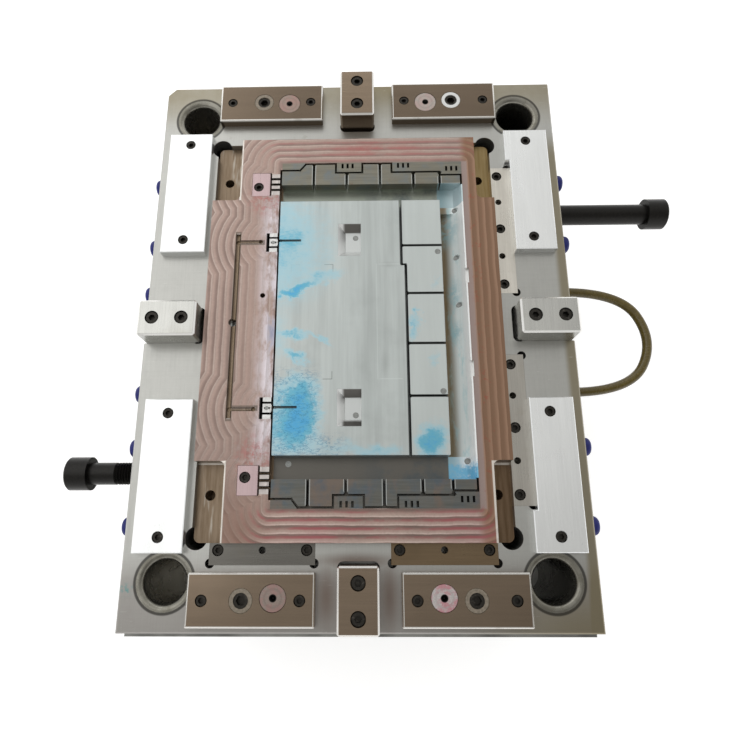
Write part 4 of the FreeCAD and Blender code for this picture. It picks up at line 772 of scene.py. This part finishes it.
class MOULD_OT_ejection(MouldPiece, bpy.types.Operator):
    """Finish the return pins, ejector pins and friction pullers"""

    bl_idname = "mould.ejection"
    bl_label = "Ejection"

    def build(self, p):
        # each pin's side, steel, stain and share stained
        pins = {"back_left": (-1, 1, (0.30, 0.235, 0.20), (0.36, 0.20, 0.18), 0.5),
                "back_right": (1, 1, (0.42, 0.37, 0.34), (0.46, 0.30, 0.28), 0.5),
                "front_left": (-1, -1, (0.33, 0.27, 0.24), (0.40, 0.20, 0.19), 0.5),
                "front_right": (1, -1, (0.66, 0.62, 0.61), (0.62, 0.22, 0.27), 0.75)}
        for corner, (sx, sy, colour, stain, amount) in pins.items():
            name = "return_pin_" + corner
            dress(disc_finish(name, sx * PIN_SPOT[0], sy * PIN_SPOT[1], colour, stain, amount), name)
        dress(plain_finish("ejector_pin_steel", (0.30, 0.31, 0.30), 0.3, 0.85, 2.0), "ejector_pins", "sprue_puller")
        f = Finish("puller_sleeve")
        white = f.x.step(90, 100) * f.y.step(200, 220)
        grain = f.cloud(2.5, 4, 0.6)
        dark = grain.step(0.3, 0.7).mix((0.20, 0.17, 0.13), (0.30, 0.255, 0.20))
        dress(f.done(white.mix(dark, (0.74, 0.75, 0.74)), grain * 0.2 + 0.3, 0.35, grain, 0.01), "puller_sleeves")


class MOULD_OT_screws(MouldPiece, bpy.types.Operator):
    """Finish the socket screws and the two lifting screws"""

    bl_idname = "mould.screws"
    bl_label = "Screws"

    def build(self, p):
        dress(screw_finish(p), "bar_screws", "interlock_screws", "wedge_screws", "latch_screws", "insert_bolts",
              "base_bolts", "ejector_plate_screws", "pillar_screws", "puller_screws")
        dress(plain_finish("hoist_oxide", shade(p.oxide, 0.55), 0.34, 0.55, 2.0, 0.02, 0.4), "hoist_screw_left",
              "hoist_screw_right")


class MOULD_OT_water(MouldPiece, bpy.types.Operator):
    """Finish the water nipples, caps and hose tails"""

    bl_idname = "mould.water"
    bl_label = "Water fittings"

    def build(self, p):
        dress(plain_finish("nipple_brass", (0.62, 0.45, 0.19), 0.3, 0.95, 3.0, 0.01, 0.2), "water_nipples",
              "hose_tails")
        dress(plain_finish("cap_rubber", p.cap, 0.52, 0.0, 3.0, 0.03, 0.25), "nipple_caps")


class MOULD_OT_hose(MouldPiece, bpy.types.Operator):
    """Lay the amber hose from one water port to the next"""

    bl_idname = "mould.hose"
    bl_label = "Water hose"

    def build(self, p):
        curve = bpy.data.curves.new("water_hose", "CURVE")
        curve.dimensions = "3D"
        spline = curve.splines.new("NURBS")
        spline.points.add(len(HOSE_ROUTE) - 1)
        for point, (x, y) in zip(spline.points, HOSE_ROUTE):
            point.co = (x, y, HOSE_HEIGHT, 1.0)
        spline.order_u = 3
        spline.use_endpoint_u = True
        spline.resolution_u = 24
        curve.bevel_depth = p.hose_diameter / 2
        curve.bevel_resolution = 6
        hose = bpy.data.objects.new("water_hose", curve)
        bpy.context.collection.objects.link(hose)
        f = Finish("hose_amber")
        grain = f.cloud(6, 4, 0.6)
        wet = f.cloud(17, 3, 0.6, shift=5)
        colour = grain.step(0.3, 0.7).mix(shade(p.hose, 0.88), shade(p.hose, 1.08))
        colour = (wet.step(0.5, 0.7) * 0.15).mix(colour, shade(p.hose, 0.6))
        curve.materials.append(f.done(colour, grain * 0.1 + 0.22, 0.0, grain, 0.02, coat_weight=0.2,
                                      transmission_weight=0.10))
        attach(hose, "mould_half")
        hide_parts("hose")


# ---- what repeats round a head or follows a coil
def start_tree(name, inputs):
    """Begin a geometry nodes tree with these named sizes, and return it with a wire for each."""
    tree = bpy.data.node_groups.new(name, "GeometryNodeTree")
    for label, value in inputs:
        kind = "NodeSocketInt" if isinstance(value, int) else "NodeSocketFloat"
        tree.interface.new_socket(label, in_out="INPUT", socket_type=kind).default_value = value
    tree.interface.new_socket("Geometry", in_out="OUTPUT", socket_type="NodeSocketGeometry")
    sizes = tree.nodes.new("NodeGroupInput")
    return tree, [Wire(tree, sizes.outputs[k]) for k in range(len(inputs))]


def end_tree(tree, shape, material):
    """End a tree as real mesh in one material."""
    real = shape.make("GeometryNodeRealizeInstances", None, {"Geometry": shape})
    done = shape.make("GeometryNodeSetMaterial", None, {"Geometry": real, "Material": material})
    tree.links.new(done.socket, tree.nodes.new("NodeGroupOutput").inputs[0])
    return tree


def knurl_tree(material):
    """Geometry nodes that stand straight ribs round a head whose axis runs along X."""
    tree, (radius, length, height, ribs) = start_tree("head_knurl", (
        ("Head radius", 0.018), ("Knurl length", 0.02), ("Rib height", 0.0005), ("Ribs", 72)))
    ring = radius.make("GeometryNodeMeshCircle", None, {"Vertices": ribs, "Radius": radius})
    points = ring.make("GeometryNodeMeshToPoints", None, {"Mesh": ring})
    place = ring.make("GeometryNodeInputPosition")
    turn = ring.make("FunctionNodeAlignRotationToVector", {"axis": "X"}, {"Vector": place})
    sides = ring.make("ShaderNodeCombineXYZ", None, {0: height * 2.0, 1: height * 1.4, 2: length})
    rib = ring.make("GeometryNodeMeshCube", None, {"Size": sides})
    stood = ring.make("GeometryNodeInstanceOnPoints", None, {"Points": points, "Instance": rib, "Rotation": turn})
    laid = ring.make("GeometryNodeTransform", None, {"Geometry": stood, "Rotation": (0.0, math.pi / 2, 0.0)})
    return end_tree(tree, laid, material)


def spring_tree(material):
    """Geometry nodes that coil a round wire and stand one coil at each corner of a rectangle."""
    tree, (radius, wire, height, turns, across, along) = start_tree("return_coils", (
        ("Coil radius", 0.02), ("Wire radius", 0.003), ("Height", 0.1), ("Turns", 8.0), ("Pitch across", 0.157),
        ("Pitch along", 0.54)))
    coil = radius.make("GeometryNodeCurveSpiral", None, {
        "Resolution": 40, "Rotations": turns, "Start Radius": radius, "End Radius": radius, "Height": height})
    ring = radius.make("GeometryNodeCurvePrimitiveCircle", None, {"Resolution": 12, "Radius": wire})
    rod = radius.make("GeometryNodeCurveToMesh", None, {"Curve": coil, "Profile Curve": ring, "Fill Caps": True})
    smooth = radius.make("GeometryNodeSetShadeSmooth", None, {"Geometry": rod})
    spots = radius.make("GeometryNodeMeshGrid", None, {
        "Size X": across, "Size Y": along, "Vertices X": 2, "Vertices Y": 2})
    stood = radius.make("GeometryNodeInstanceOnPoints", None, {"Points": spots, "Instance": smooth})
    return end_tree(tree, stood, material)


def grown_mesh(tree, values):
    """Return the plain mesh that a geometry nodes tree makes with these named sizes."""
    sockets = {item.name: item.identifier for item in tree.interface.items_tree if item.in_out == "INPUT"}
    blank = bpy.data.objects.new("blank", bpy.data.meshes.new("blank"))
    bpy.context.collection.objects.link(blank)
    modifier = blank.modifiers.new("grow", "NODES")
    modifier.node_group = tree
    for name, value in values.items():
        modifier[sockets[name]] = value
    ready = blank.evaluated_get(bpy.context.evaluated_depsgraph_get())
    mesh = bpy.data.meshes.new_from_object(ready)
    bpy.data.objects.remove(blank)
    return mesh


def node_box(name):
    """Return the low and high corner of a CAD node."""
    node = NODES[name]
    ends = [node.matrix_world @ Vector(corner) for corner in node.bound_box]
    return Vector(map(min, zip(*ends))), Vector(map(max, zip(*ends)))


class MOULD_OT_springs(MouldPiece, bpy.types.Operator):
    """Coil the four return springs"""

    bl_idname = "mould.springs"
    bl_label = "Return springs"

    def build(self, p):
        low, high = node_box("return_springs")
        outer, wire = p.spring_width / 2000.0, p.spring_wire / 2000.0
        paint = plain_finish("spring_paint", (0.03, 0.10, 0.42), 0.4, 0.2, 4.0, 0.03, 0.3, 0.3)
        dress(paint, "return_springs")
        span = high - low
        mesh = grown_mesh(spring_tree(paint), {
            "Coil radius": outer - wire, "Wire radius": wire, "Height": span.z - 2 * wire, "Turns": p.spring_turns,
            "Pitch across": span.x - 2 * outer, "Pitch along": span.y - 2 * outer})
        middle = (low + high) / 2
        mesh.transform(Matrix.Translation((middle.x, middle.y, low.z + wire)))
        piece = bpy.data.objects.new("return_coils", mesh)
        bpy.context.collection.objects.link(piece)
        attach(piece, "mould_half")
        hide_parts("return_springs")
        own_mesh(piece)


class MOULD_OT_knurls(MouldPiece, bpy.types.Operator):
    """Stand fine ribs round the heads of the two lifting screws"""

    bl_idname = "mould.knurls"
    bl_label = "Head knurls"

    def build(self, p):
        oxide = plain_finish("knurl_oxide", shade(p.oxide, 0.55), 0.40, 0.55, 2.0, 0.02, 0.25)
        tree = knurl_tree(oxide)
        for side in ("left", "right"):
            low, high = node_box("hoist_screw_" + side)
            middle = (low + high) / 2
            x = low.x + KNURL_IN if side == "left" else high.x - KNURL_IN
            mesh = grown_mesh(tree, {
                "Head radius": (high.z - low.z) / 2 - KNURL_SINK, "Knurl length": KNURL_LENGTH,
                "Rib height": p.knurl_height / 1000.0, "Ribs": p.knurl_ribs})
            mesh.transform(Matrix.Translation((x, middle.y, middle.z)))
            piece = bpy.data.objects.new("knurl_" + side, mesh)
            bpy.context.collection.objects.link(piece)
            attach(piece, "mould_half")


class MOULD_OT_stage(MouldPiece, bpy.types.Operator):
    """Set the floor, softboxes, world and camera"""

    bl_idname = "mould.stage"
    bl_label = "Stage"

    def build(self, p):
        scene = bpy.context.scene
        mesh = bpy.data.meshes.new("floor")
        corners = [(x * FLOOR_HALF, y * FLOOR_HALF, 0) for x, y in ((-1, -1), (1, -1), (1, 1), (-1, 1))]
        mesh.from_pydata(corners, [], [range(4)])
        floor = bpy.data.objects.new("floor", mesh)
        scene.collection.objects.link(floor)
        pale = bpy.data.materials.new("pale_floor")
        pale.use_nodes = True
        tree = pale.node_tree
        shader = tree.nodes["Principled BSDF"]
        for key, value in (("Base Color", (0.86, 0.86, 0.86, 1)), ("Roughness", 0.9), ("Emission Color", (1, 1, 1, 1))):
            shader.inputs[key].default_value = value
        rays = tree.nodes.new("ShaderNodeLightPath")
        seen = Wire(tree, rays.outputs["Is Camera Ray"])
        for ray in ("Is Glossy Ray", "Is Transmission Ray"):
            seen = seen.most(Wire(tree, rays.outputs[ray]))
        glow = seen * FLOOR_GLOW
        tree.links.new(glow.socket, shader.inputs["Emission Strength"])
        mesh.materials.append(pale)
        for name, at, size, power in SOFTBOXES:
            lamp = bpy.data.lights.new(name, "AREA")
            lamp.shape = "RECTANGLE"
            lamp.size, lamp.size_y = size
            lamp.energy = power
            box = bpy.data.objects.new(name, lamp)
            box.location = at
            scene.collection.objects.link(box)
        world = bpy.data.worlds.new("studio")
        scene.world = world
        world.use_nodes = True
        tree = world.node_tree
        direction = Wire(tree, None).make("ShaderNodeTexCoord", out="Generated")
        east, north, up = direction.xyz()
        overhead = up.step(0.20, 0.70)
        sky = overhead.mix((1.0, 1.0, 1.0), (0.94, 0.935, 0.915))
        dim = north.step(0.26, -0.26) * 0.44 + east.step(-0.02, 0.42) * 0.32
        sky = (overhead * dim).mix(sky, (0.10, 0.09, 0.075))
        back = tree.nodes["Background"]
        tree.links.new(sky.socket, back.inputs["Color"])
        back.inputs["Strength"].default_value = 0.95
        scene.view_settings.view_transform = "Standard"
        data = bpy.data.cameras.new("camera")
        data.lens, data.sensor_width = 29.34, 36.0
        data.shift_x, data.shift_y = CAMERA_SHIFT
        data.clip_end = 20.0
        camera = bpy.data.objects.new("camera", data)
        camera.matrix_world = Matrix(CAMERA_AT)
        scene.collection.objects.link(camera)
        scene.camera = camera


OPERATORS = (MOULD_OT_stage, MOULD_OT_hose, MOULD_OT_core_plate, MOULD_OT_base_stack, MOULD_OT_core_insert,
             MOULD_OT_core_block, MOULD_OT_wedges, MOULD_OT_bars, MOULD_OT_guides, MOULD_OT_ejection,
             MOULD_OT_screws, MOULD_OT_knurls, MOULD_OT_springs, MOULD_OT_water)


class MOULD_PT_panel(bpy.types.Panel):
    """Sidebar panel with the mould's pieces, sizes and colours"""

    bl_idname = "MOULD_PT_panel"
    bl_label = "Mould Half"
    bl_space_type = "VIEW_3D"
    bl_region_type = "UI"
    bl_category = "Mould"

    def draw(self, context):
        column = self.layout.column()
        for operator in OPERATORS:
            column.operator(operator.bl_idname)
        for group in (context.scene.mould_sizes, context.scene.mould_colours):
            column.separator()
            for key in group.__annotations__:
                column.prop(group, key)


CLASSES = (MouldColours, MouldSizes) + OPERATORS + (MOULD_PT_panel,)


def register():
    for cls in CLASSES:
        bpy.utils.register_class(cls)
    bpy.types.Scene.mould_colours = bpy.props.PointerProperty(type=MouldColours)
    bpy.types.Scene.mould_sizes = bpy.props.PointerProperty(type=MouldSizes)


def unregister():
    del bpy.types.Scene.mould_sizes
    del bpy.types.Scene.mould_colours
    for cls in reversed(CLASSES):
        bpy.utils.unregister_class(cls)


def main():
    register()
    for operator in OPERATORS:
        group, name = operator.bl_idname.split(".")
        getattr(getattr(bpy.ops, group), name)()


if __name__ == "__main__":
    main()
